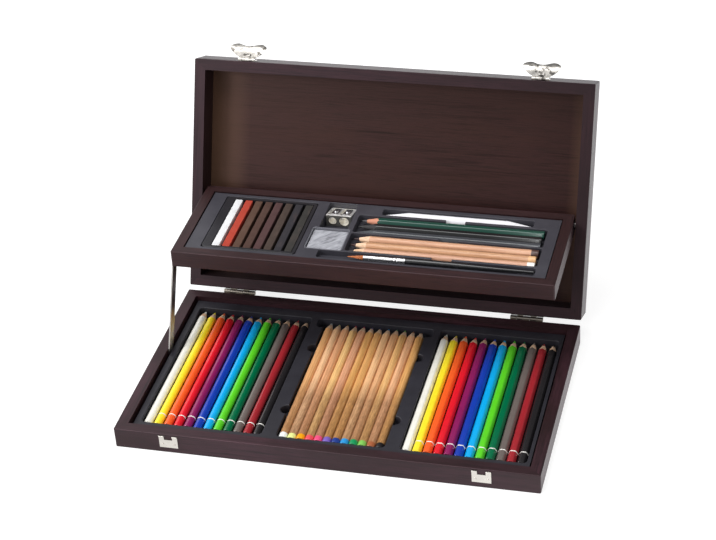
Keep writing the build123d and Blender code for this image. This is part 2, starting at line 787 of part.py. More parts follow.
def rivet(wood_face, wood_gap):
    """A rivet fixed in the wood, with a shoulder that spaces the arm and a head flush in the arm."""
    with BuildPart() as piece:
        with BuildSketch(wood_face.offset(-rivet_in_wood)):
            Circle(rivet_radius)
        extrude(amount=rivet_in_wood + wood_gap + arm_thickness - seat_gap / 2)
        with BuildSketch(wood_face):
            Circle(rivet_shoulder_radius)
        extrude(amount=wood_gap - seat_gap)
        with BuildSketch(wood_face.offset(wood_gap + arm_thickness - seat_gap / 2)):
            Circle(rivet_head_radius)
        extrude(amount=-rivet_head_thickness)
    return piece


save(rivet(foot_hole[0], arm_wall_gap), "arm_foot_rivet")
save(rivet(arm_top_hole[0], side_gap - arm_wall_gap - arm_thickness), "arm_top_rivet")

# Tray insert: a formed tray with a pocket for each thing

sketch_row_room = stump_centre[1] - stump_diameter / 2 - stump_land - sketch_diameter / 2 - group_gap
sketch_rows = math.floor((sketch_row_room - sketch_first_row) / sketch_pitch) + 1
natural_sketch_rows = sketch_rows // 2
sketch_groups = {
    "natural": (sketch_first_row, natural_sketch_rows),
    "lacquered": (
        sketch_first_row + natural_sketch_rows * sketch_pitch + group_gap, sketch_rows - natural_sketch_rows
    ),
}
sketch_floor = tray_insert_top - sketch_diameter + seat_gap
brush_floor = tray_insert_top - brush_slot_depth
stump_floor = tray_insert_top - stump_diameter + seat_gap
sketch_well_width = sketch_well_right - sketch_well_left
sketch_well_x = (sketch_well_right + sketch_well_left) / 2
sharpener_x = eraser_x + sharpener_shift
sharpener_y = tray_depth - sharpener_from_tray_back
channel_x = sketch_well_left + channel_from_well_left


def block(x, y, width, depth, grow):
    """One rounded pocket outline, by its centre."""
    with Locations((x, y)):
        RectangleRounded(width + 2 * grow, depth + 2 * grow, tray_item_corner + grow)


def draw_deep_pockets(grow):
    """Pockets for the chalk box, the eraser case and the sharpener, which rest on the tray's own floor."""
    block(*chalk_box_centre, chalk_box_width + 2 * insert_gap, chalk_box_depth + 2 * insert_gap, grow)
    block(eraser_x, eraser_centre_y, eraser_case_width + insert_gap, eraser_case_depth + insert_gap, grow)
    front, back = eraser_centre_y, sharpener_y + sharpener_length + insert_gap
    width = sharpener_width + 2 * sharpener_side_room
    block(sharpener_x, (front + back) / 2, width, back - front, grow)


def draw_sketch_pockets(grow):
    """A well for each group of pencils."""
    for first_row, count in sketch_groups.values():
        length = (count - 1) * sketch_pitch + sketch_diameter + 2 * sketch_side_room
        block(sketch_well_x, first_row + (count - 1) * sketch_pitch / 2, sketch_well_width, length, grow)


def draw_brush_slot(grow):
    """The shallow slot in front, wider than the brush so that it can be lifted out."""
    length = sketch_well_width + brush_slot_lead
    middle = brush_row + (brush_slot_back_room - brush_slot_front_room) / 2
    width = brush_slot_back_room + brush_slot_front_room
    block(sketch_well_x - brush_slot_lead / 2, middle, length, width, grow)


def draw_stump_slot(grow):
    """The slot for the blending stump, and the finger channel that crosses the wells to it."""
    block(*stump_centre, stump_length + 4 * insert_gap, stump_diameter + 2 * insert_gap, grow)
    block(channel_x, (brush_row + stump_centre[1]) / 2, channel_width, stump_centre[1] - brush_row, grow)


with BuildPart() as tray_insert:
    tray_seat_plane = on_tray(0, 0, tray_panel)
    land = tray_seat_plane.offset(tray_insert_height)
    with BuildSketch(tray_seat_plane):
        with Locations((0, tray_depth / 2)):
            Rectangle(tray_inner_width, tray_inner_depth)
    extrude(amount=tray_insert_height)
    with BuildSketch(tray_seat_plane):
        with Locations((0, tray_depth / 2)):
            Rectangle(tray_inner_width - 2 * sheet, tray_inner_depth - 2 * sheet)
        with BuildSketch(mode=Mode.SUBTRACT):
            draw_deep_pockets(sheet)
            draw_sketch_pockets(sheet)
            draw_brush_slot(sheet)
            draw_stump_slot(sheet)
    extrude(amount=tray_insert_height - sheet, mode=Mode.SUBTRACT)
    with BuildSketch(tray_seat_plane):
        with Locations((0, tray_depth / 2)):
            Rectangle(tray_inner_width - 2 * sheet, tray_inner_depth - 2 * sheet)
        with BuildSketch(mode=Mode.SUBTRACT):
            draw_deep_pockets(sheet)
    extrude(amount=stump_floor - seat_gap - sheet - tray_panel, mode=Mode.SUBTRACT)
    with BuildSketch(land):
        draw_deep_pockets(0)
    extrude(amount=sheet - tray_insert_height, mode=Mode.SUBTRACT)
    with BuildSketch(land):
        draw_sketch_pockets(0)
    extrude(amount=sketch_floor - seat_gap - tray_insert_top, mode=Mode.SUBTRACT)
    with BuildSketch(land):
        draw_brush_slot(0)
    extrude(amount=brush_floor - seat_gap - tray_insert_top, mode=Mode.SUBTRACT)
    with BuildSketch(land):
        draw_stump_slot(0)
    extrude(amount=stump_floor - seat_gap - tray_insert_top, mode=Mode.SUBTRACT)
    fillet(tray_insert.faces().sort_by(Axis.Z)[-1].inner_wires().edges(), tray_insert_edge_radius)
save(tray_insert, "tray_insert")

# Chalk box and its sticks

chalk_floor = tray_sheet_floor + seat_gap
with BuildPart() as chalk_box:
    with BuildSketch(on_tray(*chalk_box_centre, chalk_floor)):
        RectangleRounded(chalk_box_width, chalk_box_depth, chalk_box_corner)
    extrude(amount=chalk_box_height)
    fillet(chalk_box.faces().sort_by(Axis.Z)[-1].outer_wire().edges(), insert_edge_radius)
    box_top = chalk_floor + chalk_box_height
    chalk_bed = on_tray(chalk_box_centre[0] + chalk_shift, tray_depth / 2, box_top)
    pocket_width = chalk_size + chalk_end_room
    with BuildSketch(chalk_bed):
        Rectangle((chalk_count - 1) * chalk_pitch + pocket_width, chalk_length + chalk_end_room)
    extrude(amount=chalk_box_floor + chalk_rib_height - chalk_box_height, mode=Mode.SUBTRACT)
    with BuildSketch(chalk_bed):
        with GridLocations(chalk_pitch, 0, chalk_count, 1):
            Rectangle(pocket_width, chalk_length + chalk_end_room)
    extrude(amount=chalk_box_floor - chalk_box_height, mode=Mode.SUBTRACT)
save(chalk_box, "chalk_box")

with BuildPart() as chalk_sticks:
    stick_z = chalk_floor + chalk_box_floor + seat_gap
    with BuildSketch(on_tray(chalk_box_centre[0] + chalk_shift, tray_depth / 2, stick_z)):
        with GridLocations(chalk_pitch, 0, chalk_count, 1):
            Rectangle(chalk_size, chalk_length)
    extrude(amount=chalk_size)
save(chalk_sticks, "chalk_sticks")

# Eraser in its thin-walled case

with BuildPart() as eraser_case:
    with BuildSketch(on_tray(eraser_x, eraser_centre_y, tray_sheet_floor + seat_gap)):
        RectangleRounded(eraser_case_width, eraser_case_depth, tray_item_corner)
    extrude(amount=eraser_case_height)
    with BuildSketch(on_tray(eraser_x, eraser_centre_y, tray_sheet_floor + seat_gap + eraser_wall)):
        wall_both = 2 * eraser_wall
        RectangleRounded(
            eraser_case_width - wall_both, eraser_case_depth - wall_both, tray_item_corner - eraser_wall
        )
    extrude(amount=eraser_case_height, mode=Mode.SUBTRACT)
save(eraser_case, "eraser_case")

with BuildPart() as kneadable_eraser:
    with BuildSketch(on_tray(eraser_x, eraser_centre_y, tray_sheet_floor + eraser_wall + 2 * seat_gap)):
        loose = 3 * eraser_wall
        RectangleRounded(
            eraser_case_width - loose, eraser_case_depth - loose, tray_item_corner - eraser_wall
        )
    extrude(amount=eraser_height)
    fillet(kneadable_eraser.faces().sort_by(Axis.Z)[-1].edges(), eraser_wall)
save(kneadable_eraser, "kneadable_eraser")

# Sharpener: a metal wedge with two tapered holes, two blades on its sloping top and their screws

sharpener_bottom = tray_sheet_floor + seat_gap
slope = math.atan2(sharpener_height - sharpener_low_end, sharpener_length)
blade_shift = blade_width / 2 - sharpener_hole_far_radius
blade_side = blade_slot_width + blade_thickness - blade_shift
sharpener_holes = (small_hole, large_hole)
top_normal = (0, math.sin(slope), math.cos(slope))
top_plane = on_tray(sharpener_x, sharpener_y, sharpener_bottom + sharpener_height, (1, 0, 0), top_normal)
side_plane = on_tray(sharpener_x - sharpener_width / 2, sharpener_y, sharpener_bottom, (0, 1, 0), (1, 0, 0))
with BuildPart() as sharpener_body:
    with BuildSketch(side_plane):
        with BuildLine():
            Polyline(
                (0, 0), (sharpener_length, 0), (sharpener_length, sharpener_low_end), (0, sharpener_height),
                close=True,
            )
        make_face()
    extrude(amount=sharpener_width)
    fillet(sharpener_body.edges().filter_by(Axis.X), blade_thickness)
    hole_z = sharpener_bottom + sharpener_height / 2
    for side, radius in sharpener_holes:
        with BuildSketch(on_tray(sharpener_x + side, sharpener_y, hole_z)):
            with BuildLine():
                Polyline(
                    (0, 0), (radius, 0), (sharpener_hole_far_radius, sharpener_hole_length),
                    (0, sharpener_hole_length), close=True,
                )
            make_face()
        hole_axis = Axis(on_tray(sharpener_x + side, sharpener_y, hole_z).origin, (0, 1, 0))
        revolve(axis=hole_axis, mode=Mode.SUBTRACT)
        with BuildSketch(top_plane):
            with Locations((side - blade_shift, sharpener_length / 2)):
                Rectangle(blade_slot_width, blade_length)
        extrude(amount=-sharpener_height / 2, mode=Mode.SUBTRACT)
save(sharpener_body, "sharpener_body")

with BuildPart() as sharpener_blades:
    with BuildSketch(top_plane):
        for side, radius in sharpener_holes:
            with Locations((side + blade_side, sharpener_length / 2)):
                Rectangle(blade_width - blade_slot_width / 2, blade_length)
                Circle(blade_screw_radius / 2 + snug_fit, mode=Mode.SUBTRACT)
    extrude(amount=blade_thickness)
save(sharpener_blades, "sharpener_blades")

with BuildPart() as sharpener_screws:
    for side, radius in sharpener_holes:
        screw_centre = (side + blade_side, sharpener_length / 2)
        with BuildSketch(top_plane):
            with Locations(screw_centre):
                Circle(blade_screw_radius / 2)
        extrude(amount=blade_thickness)
        with BuildSketch(top_plane.offset(blade_thickness)):
            with Locations(screw_centre):
                Circle(blade_screw_radius)
        extrude(amount=blade_screw_height)
        with BuildSketch(top_plane.offset(blade_thickness + blade_screw_height)):
            with Locations(screw_centre):
                Rectangle(2 * blade_screw_radius, blade_screw_height / 2, rotation=45)
        extrude(amount=-blade_screw_height / 2, mode=Mode.SUBTRACT)
save(sharpener_screws, "sharpener_screws")

# Loose pencils, stump and brush, lying along X

sketch_six_sided = six_sided_pencil(sketch_diameter, sketch_length, sketch_cone)
with BuildPart() as sketch_round:
    with BuildSketch(Plane.XY):
        with BuildLine():
            Polyline(
                (0, 0), (sketch_diameter / 2, 0), (sketch_diameter / 2, sketch_length - sketch_cone),
                (point_radius, sketch_length), (0, sketch_length), close=True,
            )
        make_face()
    revolve(axis=Axis.Y)


def lying_row(pencil, first_row, count):
    """Pencils side by side along the tray, points to the left."""
    z = sketch_floor + sketch_diameter / 2
    places = []
    for i in range(count):
        row = on_tray(sketch_well_right - sketch_end_room, first_row + i * sketch_pitch, z)
        places.append(Location(tuple(row.origin), (0, 0, 90)))
    with BuildPart() as group:
        with Locations(places):
            add(pencil.part)
    return group


save(lying_row(sketch_round, *sketch_groups["natural"]), "sketch_pencils_natural")
save(lying_row(sketch_six_sided, *sketch_groups["lacquered"]), "sketch_pencils_lacquered")

with BuildPart() as blending_stump:
    stump_x, stump_y = stump_centre
    stump_radius = stump_diameter / 2
    stump_plane = on_tray(stump_x - stump_length / 2, stump_y, stump_floor + stump_radius)
    with BuildSketch(stump_plane):
        with BuildLine():
            Polyline(
                (0, 0), (0, point_radius), (stump_cone, stump_radius),
                (stump_length - stump_cone, stump_radius), (stump_length, point_radius), (stump_length, 0),
                close=True,
            )
        make_face()
    revolve(axis=Axis(stump_plane.origin, (1, 0, 0)))
save(blending_stump, "blending_stump")

brush_z = brush_floor + brush_handle_radius
brush_plane = on_tray(sketch_well_left + brush_tip_lead, brush_row, brush_z)
brush_axis = Axis(brush_plane.origin, (1, 0, 0))
ferrule_start = brush_hair_length
handle_start = brush_hair_length + brush_ferrule_length
handle_end = handle_start + brush_handle_length
with BuildPart() as brush_hair:
    with BuildSketch(brush_plane):
        with BuildLine():
            root = (brush_hair_length, brush_hair_radius)
            belly = (0.55 * brush_hair_length, 1.05 * brush_hair_radius)
            Spline((0, point_radius / 2), belly, root)
            Polyline(root, (brush_hair_length, 0), (0, 0), (0, point_radius / 2))
        make_face()
    revolve(axis=brush_axis)
save(brush_hair, "brush_hair")

with BuildPart() as brush_ferrule:
    with BuildSketch(brush_plane):
        with BuildLine():
            Polyline(
                (ferrule_start, 0), (ferrule_start, brush_hair_radius + seat_gap),
                (handle_start, brush_ferrule_radius), (handle_start, 0), close=True,
            )
        make_face()
    revolve(axis=brush_axis)
save(brush_ferrule, "brush_ferrule")

with BuildPart() as brush_handle:
    with BuildSketch(brush_plane):
        with BuildLine():
            root = (handle_start, brush_ferrule_radius - seat_gap)
            widest = (handle_start + brush_handle_length / 6, brush_handle_radius)
            Spline(root, widest, tangents=[(1, 0.05), (1, 0)])
            Spline(widest, (handle_end, brush_end_radius), tangents=[(1, 0), (1, -0.02)])
            Polyline((handle_end, brush_end_radius), (handle_end, 0), (handle_start, 0), root)
        make_face()
    revolve(axis=brush_axis)
save(brush_handle, "brush_handle")
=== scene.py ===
"""A hinged wooden case for art materials, with a tray that rises level as the lid opens.

Metres. Origin at the centre of the case's underside, X to the right, Y to the back, Z up.
"""
import math
import random

import bmesh
import bpy
from mathutils import Matrix, Vector


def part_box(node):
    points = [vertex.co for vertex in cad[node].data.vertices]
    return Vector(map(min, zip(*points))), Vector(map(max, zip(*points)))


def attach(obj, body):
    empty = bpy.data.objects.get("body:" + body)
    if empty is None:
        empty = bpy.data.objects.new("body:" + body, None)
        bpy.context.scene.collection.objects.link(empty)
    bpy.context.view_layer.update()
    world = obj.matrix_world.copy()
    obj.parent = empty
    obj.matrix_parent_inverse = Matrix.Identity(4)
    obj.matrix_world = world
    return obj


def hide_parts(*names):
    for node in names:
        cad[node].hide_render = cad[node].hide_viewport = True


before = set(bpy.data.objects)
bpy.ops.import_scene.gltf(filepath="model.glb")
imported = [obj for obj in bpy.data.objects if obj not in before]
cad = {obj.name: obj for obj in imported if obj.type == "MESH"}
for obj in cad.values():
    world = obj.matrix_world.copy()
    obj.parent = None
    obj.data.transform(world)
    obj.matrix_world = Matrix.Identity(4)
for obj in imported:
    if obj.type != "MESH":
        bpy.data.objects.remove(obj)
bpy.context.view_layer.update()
MM = 0.001

# The table, the light and the camera.
# The case stands on a plain white table under broad soft lamps. The camera looks
# down on it from the front, a little to the right, tipped by a few degrees.


def put(tree, kind, values=None, **settings):
    """Adds a node, sets its options, and gives each socket a value or the output that feeds it."""
    node = tree.nodes.new(kind)
    for option, value in settings.items():
        setattr(node, option, value)
    for socket, value in (values or {}).items():
        if isinstance(value, bpy.types.NodeSocket):
            tree.links.new(value, node.inputs[socket])
        else:
            node.inputs[socket].default_value = value
    return node


def grey(level):
    """A level from 0 to 1, as a colour."""
    return (level, level, level, 1.0)


def reckon(tree, operation, *values):
    """One step of arithmetic on numbers."""
    return put(tree, "ShaderNodeMath", dict(enumerate(values)), operation=operation).outputs[0]


def stretch(tree, value, low, high, start=0.0, end=1.0):
    """A value that goes from start to end, made to go from low to high."""
    made = put(tree, "ShaderNodeMapRange", {
        "Value": value, "From Min": start, "From Max": end, "To Min": low, "To Max": high,
    })
    return made.outputs["Result"]


def parts_of(tree, vector):
    """The X, Y and Z of a vector."""
    return put(tree, "ShaderNodeSeparateXYZ", {0: vector}).outputs


def seen_directly(tree, path):
    """1 where the camera looks, straight or through something clear."""
    return reckon(tree, "MAXIMUM", path["Is Camera Ray"], path["Is Transmission Ray"])


# The view was fitted to the photo: its turn, tip and roll in radians, and the camera's place
# from the base's top front left corner, along the camera's own axes.
reach = 30.0
picture_width, sensor_width, focal_pixels = 716, 36.0, 2029.32
camera_turn, camera_tip, camera_roll = 0.281841, 0.592218, -0.071996
camera_offset = Vector((223.333, 144.841, 1850.582)) * MM
case_corner = Vector((-197.0, -113.5, 20.5)) * MM
camera_back = Vector((
    math.sin(camera_turn) * math.cos(camera_tip),
    -math.cos(camera_turn) * math.cos(camera_tip),
    math.sin(camera_tip),
))
camera_right = Vector((math.cos(camera_turn), math.sin(camera_turn), 0))
level = Matrix((camera_right, camera_back.cross(camera_right), camera_back)).transposed()
camera_axes = level @ Matrix.Rotation(camera_roll, 3, "Z")
camera = bpy.data.objects.new("camera", bpy.data.cameras.new("camera"))
camera.matrix_world = Matrix.Translation(camera_axes @ camera_offset + case_corner) @ camera_axes.to_4x4()
camera.data.sensor_fit = "HORIZONTAL"
camera.data.sensor_width = sensor_width
camera.data.lens = focal_pixels * sensor_width / picture_width
camera.data.clip_end = reach
bpy.context.scene.collection.objects.link(camera)
bpy.context.scene.camera = camera
bpy.context.scene.view_settings.view_transform = "Standard"

# What bright metal and lacquer mirror: white at the horizon, above it bright on the left
# and dark on the right, and a pale ceiling high up in front.
room_light, white, dark_side, light_side, ceiling = 0.5, 1.0, 0.10, 1.3, 0.8
horizon_top = 0.08
light_start, light_full = -0.16, -0.42
ceiling_start, ceiling_full = 0.3, 0.6
world = bpy.data.worlds.new("studio")
world.use_nodes = True
bpy.context.scene.world = world
air = world.node_tree
path = put(air, "ShaderNodeLightPath").outputs
toward = parts_of(air, put(air, "ShaderNodeTexCoord").outputs["Generated"])
from_left = stretch(air, toward["X"], dark_side, light_side, light_start, light_full)
mirrored = stretch(air, toward["Z"], white, from_left, 0.0, horizon_top)
high_in_front = reckon(air, "MINIMUM", toward["Z"], reckon(air, "MULTIPLY", toward["Y"], -1.0))
mirrored = stretch(air, high_in_front, mirrored, ceiling, ceiling_start, ceiling_full)
unseen = put(air, "ShaderNodeMix", {0: path["Is Glossy Ray"], 2: room_light, 3: mirrored}).outputs[0]
sky = air.nodes["Background"]
sky.inputs["Color"].default_value = grey(1.0)
air.links.new(reckon(air, "MAXIMUM", unseen, seen_directly(air, path)), sky.inputs["Strength"])

lamp_aim = Vector((0.0, 0.0, 0.1))
for lamp_name, size, power, place in (
    ("overhead", 1.4, 30.0, (-0.5, -0.15, 2.1)),
    ("front_left", 0.9, 32.0, (-1.75, -1.55, 1.3)),
    ("front_right", 1.0, 6.0, (1.9, -0.9, 0.9)),
):
    light = bpy.data.lights.new(lamp_name, "AREA")
    light.shape = "DISK"
    light.size = size
    light.energy = power
    lamp = bpy.data.objects.new(lamp_name, light)
    lamp.location = place
    lamp.rotation_euler = (Vector(place) - lamp_aim).to_track_quat("Z", "Y").to_euler()
    bpy.context.scene.collection.objects.link(lamp)

# The table lies a hair below the case. Shiny things mirror it darker at the front left than
# at the back right.
floor_drop = 0.2 * MM
floor_tone, floor_glow = 0.42, 0.78
front_edge, back_edge = -0.05, 0.2
mirrored_front, mirrored_back = 0.55, 1.2
floor_mesh = bpy.data.meshes.new("table")
floor_mesh.from_pydata(
    [(-reach, -reach, 0), (reach, -reach, 0), (reach, reach, 0), (-reach, reach, 0)], [], [(0, 1, 2, 3)]
)
floor_mesh.transform(Matrix.Translation((0, 0, -floor_drop)))
floor = bpy.data.objects.new("table", floor_mesh)
bpy.context.scene.collection.objects.link(floor)
table_white = bpy.data.materials.new("table_white")
table_white.use_nodes = True
tree = table_white.node_tree
shader = tree.nodes["Principled BSDF"]
shader.inputs["Base Color"].default_value = grey(floor_tone)
shader.inputs["Roughness"].default_value = 0.9
shader.inputs["Specular IOR Level"].default_value = 0.0
path = put(tree, "ShaderNodeLightPath").outputs
spot = parts_of(tree, put(tree, "ShaderNodeTexCoord").outputs["Object"])
behind = reckon(tree, "ADD", spot["X"], spot["Y"])
in_mirror = stretch(tree, behind, mirrored_front, mirrored_back, front_edge, back_edge)
in_mirror = reckon(tree, "MULTIPLY", path["Is Glossy Ray"], in_mirror)
in_view = reckon(tree, "MULTIPLY", seen_directly(tree, path), floor_glow)
glow = put(tree, "ShaderNodeEmission", {
    "Color": grey(1.0), "Strength": reckon(tree, "MAXIMUM", in_view, in_mirror),
})
both = put(tree, "ShaderNodeAddShader", {0: shader.outputs[0], 1: glow.outputs[0]})
tree.links.new(both.outputs[0], tree.nodes["Material Output"].inputs["Surface"])
floor_mesh.materials.append(table_white)

# The case: rails and panels of base and lid.
# Mitred hardwood rails stained a very dark brown under satin lacquer, with the grain along
# each rail, and thin veneered panels glued flush into rebates.


def paint(red, green, blue):
    """A colour given in the usual 0 to 255, as light."""
    shares = (red / 255, green / 255, blue / 255)
    return tuple(c / 12.92 if c <= 0.04045 else ((c + 0.055) / 1.055) ** 2.4 for c in shares) + (1.0,)


def darker(colour, share):
    """A colour with only a share of its light."""
    return tuple(share * c for c in colour[:3]) + (1.0,)


def reopened(material):
    """A finish's tree, its shader and the object's own coordinates."""
    tree = material.node_tree
    return tree, tree.nodes["Principled BSDF"], put(tree, "ShaderNodeTexCoord").outputs["Object"]


def new_finish(name, roughness=0.5, metallic=0.0):
    """A material, its tree, its shader and the object's own coordinates."""
    material = bpy.data.materials.new(name)
    material.use_nodes = True
    tree, shader, where = reopened(material)
    shader.inputs["Roughness"].default_value = roughness
    shader.inputs["Metallic"].default_value = metallic
    return material, tree, shader, where


def colour_so_far(shader):
    """What feeds the shader's colour."""
    return shader.inputs["Base Color"].links[0].from_socket


def noise(tree, where, size, detail=4.0, roughness=0.5, turn=(0, 0, 0), distortion=0.0):
    """Noise whose features have the given size in metres, along axes turned with the piece."""
    sizes = size if isinstance(size, tuple) else (size, size, size)
    local = put(tree, "ShaderNodeMapping", {"Vector": where, "Rotation": turn, "Scale": sizes},
                vector_type="TEXTURE")
    made = put(tree, "ShaderNodeTexNoise", {
        "Vector": local.outputs[0], "Scale": 1.0, "Detail": detail, "Roughness": roughness,
        "Distortion": distortion,
    })
    return made.outputs["Fac"]


def ramp(tree, value, *stops):
    """Colours or greys between the given places."""
    made = put(tree, "ShaderNodeValToRGB", {"Fac": value})
    line = made.color_ramp.elements
    while len(line) < len(stops):
        line.new(0.5)
    for element, (place, colour) in zip(line, stops):
        element.position = place
        element.color = colour if isinstance(colour, tuple) else grey(colour)
    return made.outputs["Color"]


def mix(tree, share, first, second):
    """Two colours together."""
    return put(tree, "ShaderNodeMix", {0: share, 6: first, 7: second}, data_type="RGBA").outputs[2]


def raise_surface(tree, shader, height, distance, strength=1.0):
    """Bump from a height, on top of any that the shader has."""
    made = put(tree, "ShaderNodeBump", {"Height": height, "Distance": distance, "Strength": strength})
    before = shader.inputs["Normal"].links
    if before:
        tree.links.new(before[0].from_socket, made.inputs["Normal"])
    tree.links.new(made.outputs["Normal"], shader.inputs["Normal"])


def stained_wood(name, tones, grain, turn=(0, 0, 0), gloss=0.42, shine=0.5, tint=paint(250, 226, 236)):
    """Dark stained hardwood: long grain, fine open pores, and slow changes of tone."""
    material, tree, shader, where = new_finish(name)
    dark, light, warm = tones
    long_side = max(grain)
    pore_width, pore_length = 0.6 * MM, 20 * MM
    patch_width, patch_length = 50 * MM, 160 * MM
    pore = tuple(pore_width if g < long_side else pore_length for g in grain)
    patch = tuple(patch_width if g < long_side else patch_length for g in grain)
    figure = noise(tree, where, grain, 8.0, 0.65, turn, 0.5)
    pores = noise(tree, where, pore, 3.0, 0.6, turn)
    cloud = noise(tree, where, patch, 4.0, 0.55, turn, 0.8)
    wood = ramp(tree, figure, (0.32, dark), (0.50, light), (0.70, dark))
    wood = mix(tree, ramp(tree, cloud, (0.38, 0.0), (0.62, 1.0)), wood, warm)
    wood = mix(tree, ramp(tree, pores, (0.34, 0.75), (0.46, 0.0)), wood, darker(dark, 0.5))
    tree.links.new(wood, shader.inputs["Base Color"])
    lacquer = mix(tree, 0.5, ramp(tree, figure, (0.3, gloss - 0.05), (0.7, gloss + 0.10)),
                  ramp(tree, cloud, (0.3, gloss - 0.03), (0.7, gloss + 0.07)))
    tree.links.new(lacquer, shader.inputs["Roughness"])
    shader.inputs["Specular IOR Level"].default_value = shine
    shader.inputs["Specular Tint"].default_value = tint
    shader.inputs["Sheen Weight"].default_value = 0.03
    shader.inputs["Sheen Roughness"].default_value = 0.2
    shader.inputs["Sheen Tint"].default_value = paint(236, 226, 255)
    raise_surface(tree, shader, figure, 0.04 * MM, 0.35)
    raise_surface(tree, shader, pores, 0.05 * MM, 0.5)
    return material


def finish_nodes(material, slot, *names):
    """Gives CAD nodes their material; the slot is not used."""
    for name in names:
        node = cad[name]
        node.data.materials.clear()
        node.data.materials.append(material)


grain_length, grain_width = 110 * MM, 3.5 * MM
along_x, along_y = (grain_length, grain_width, grain_width), (grain_width, grain_length, grain_width)
lid_swing = math.radians(-112.8)
lid_turn = (lid_swing, 0, 0)
case_tones = (paint(6, 2, 3), paint(58, 33, 40), paint(32, 13, 14))
# The lid's rails are the case's wood, painted darker as shade.
lid_tones_painted_darker = (paint(6, 2, 3), paint(44, 25, 29), paint(24, 10, 11))
wood_along_x = stained_wood("case_wood_long", case_tones, along_x)
wood_along_y = stained_wood("case_wood_side", case_tones, along_y)
lid_wood_x = stained_wood("lid_wood_long", lid_tones_painted_darker, along_x, lid_turn, shine=0.4)
lid_wood_y = stained_wood("lid_wood_side", lid_tones_painted_darker, along_y, lid_turn, shine=0.4)
finish_nodes(wood_along_x, "dark_wood", "base_front_rail", "base_back_rail")
finish_nodes(wood_along_y, "dark_wood", "base_left_rail", "base_right_rail")
finish_nodes(lid_wood_x, "dark_wood", "lid_front_rail", "lid_back_rail")
finish_nodes(lid_wood_y, "dark_wood", "lid_left_rail", "lid_right_rail")

panel_grain = (90 * MM, 2.2 * MM, 2.2 * MM)
panel_tones = (paint(6, 2, 3), paint(43, 23, 24), paint(38, 18, 16))
lid_veneer = stained_wood("lid_veneer", panel_tones, panel_grain, lid_turn, 0.34, tint=paint(255, 212, 202))
base_veneer = stained_wood("base_veneer", panel_tones, panel_grain, gloss=0.34)

# The lid panel's inner face has a paler warm sheen painted beside its left and right rails, a painted
# reflection. Each end says where the painted sheen begins, where it is full, and how much of it shows.
painted_sheen_tone = paint(104, 78, 60)
painted_sheen_ends = ((-146 * MM, -186 * MM, 0.65), (172 * MM, 186 * MM, 0.35))
outward = Vector((0, -math.sin(lid_swing), math.cos(lid_swing)))
panel_depths = [vertex.co @ outward for vertex in cad["lid_panel"].data.vertices]
panel_middle = (min(panel_depths) + max(panel_depths)) / 2
tree, shader, where = reopened(lid_veneer)
depth = put(tree, "ShaderNodeVectorMath", {0: where, 1: outward}, operation="DOT_PRODUCT").outputs["Value"]
inner_face = reckon(tree, "LESS_THAN", depth, panel_middle)
sideways = parts_of(tree, where)["X"]
veneer = colour_so_far(shader)
for sheen_starts_at, sheen_full_at, most in painted_sheen_ends:
    # Each pass paints a paler warm band of reflected light on the inner face.
    painted_sheen = reckon(tree, "MULTIPLY", stretch(tree, sideways, 0.0, most, sheen_starts_at, sheen_full_at), inner_face)
    veneer = mix(tree, painted_sheen, veneer, painted_sheen_tone)
tree.links.new(veneer, shader.inputs["Base Color"])
finish_nodes(lid_veneer, "panel_wood", "lid_panel")
finish_nodes(base_veneer, "panel_wood", "base_bottom_panel")

# The insert in the base.
# A black sheet formed over a mould, with a fine leathery skin and rounded edges, laid on
# the bottom panel. It has a well for each row of pencils and four finger notches.


def formed_sheet(name, low, high, skin=0.5 * MM):
    """Thin moulded plastic with a fine pebbled skin, a little scuffed."""
    material, tree, shader, where = new_finish(name)
    local = put(tree, "ShaderNodeMapping", {"Vector": where, "Scale": (skin, skin, skin)},
                vector_type="TEXTURE").outputs[0]
    pebbles = put(tree, "ShaderNodeTexVoronoi", {"Vector": local, "Scale": 1.0}).outputs["Distance"]
    cloud = noise(tree, where, 30 * MM, 5.0, 0.6)
    scuffs = noise(tree, where, (12 * MM, 1.2 * MM, 2 * MM), 4.0, 0.6, (0, 0, 0.5))
    tree.links.new(ramp(tree, cloud, (0.3, low), (0.7, high)), shader.inputs["Base Color"])
    tree.links.new(ramp(tree, scuffs, (0.45, 0.46), (0.75, 0.36)), shader.inputs["Roughness"])
    shader.inputs["Specular IOR Level"].default_value = 0.4
    raise_surface(tree, shader, pebbles, 0.04 * MM, 0.5)
    raise_surface(tree, shader, cloud, 0.15 * MM, 0.2)
    return material


black_sheet = formed_sheet("black_sheet", paint(34, 33, 39), paint(45, 44, 51))
finish_nodes(black_sheet, "black_insert", "base_insert")

# The rows of pencils in the base.
# Round and six-sided lacquered pencils with a white ring near the end, and round pencils of
# bare varnished wood with a dipped end. Each is sharpened to a cone and lies loose in its well.

BARREL, BARE, LEAD, RING, DIPPED = range(5)


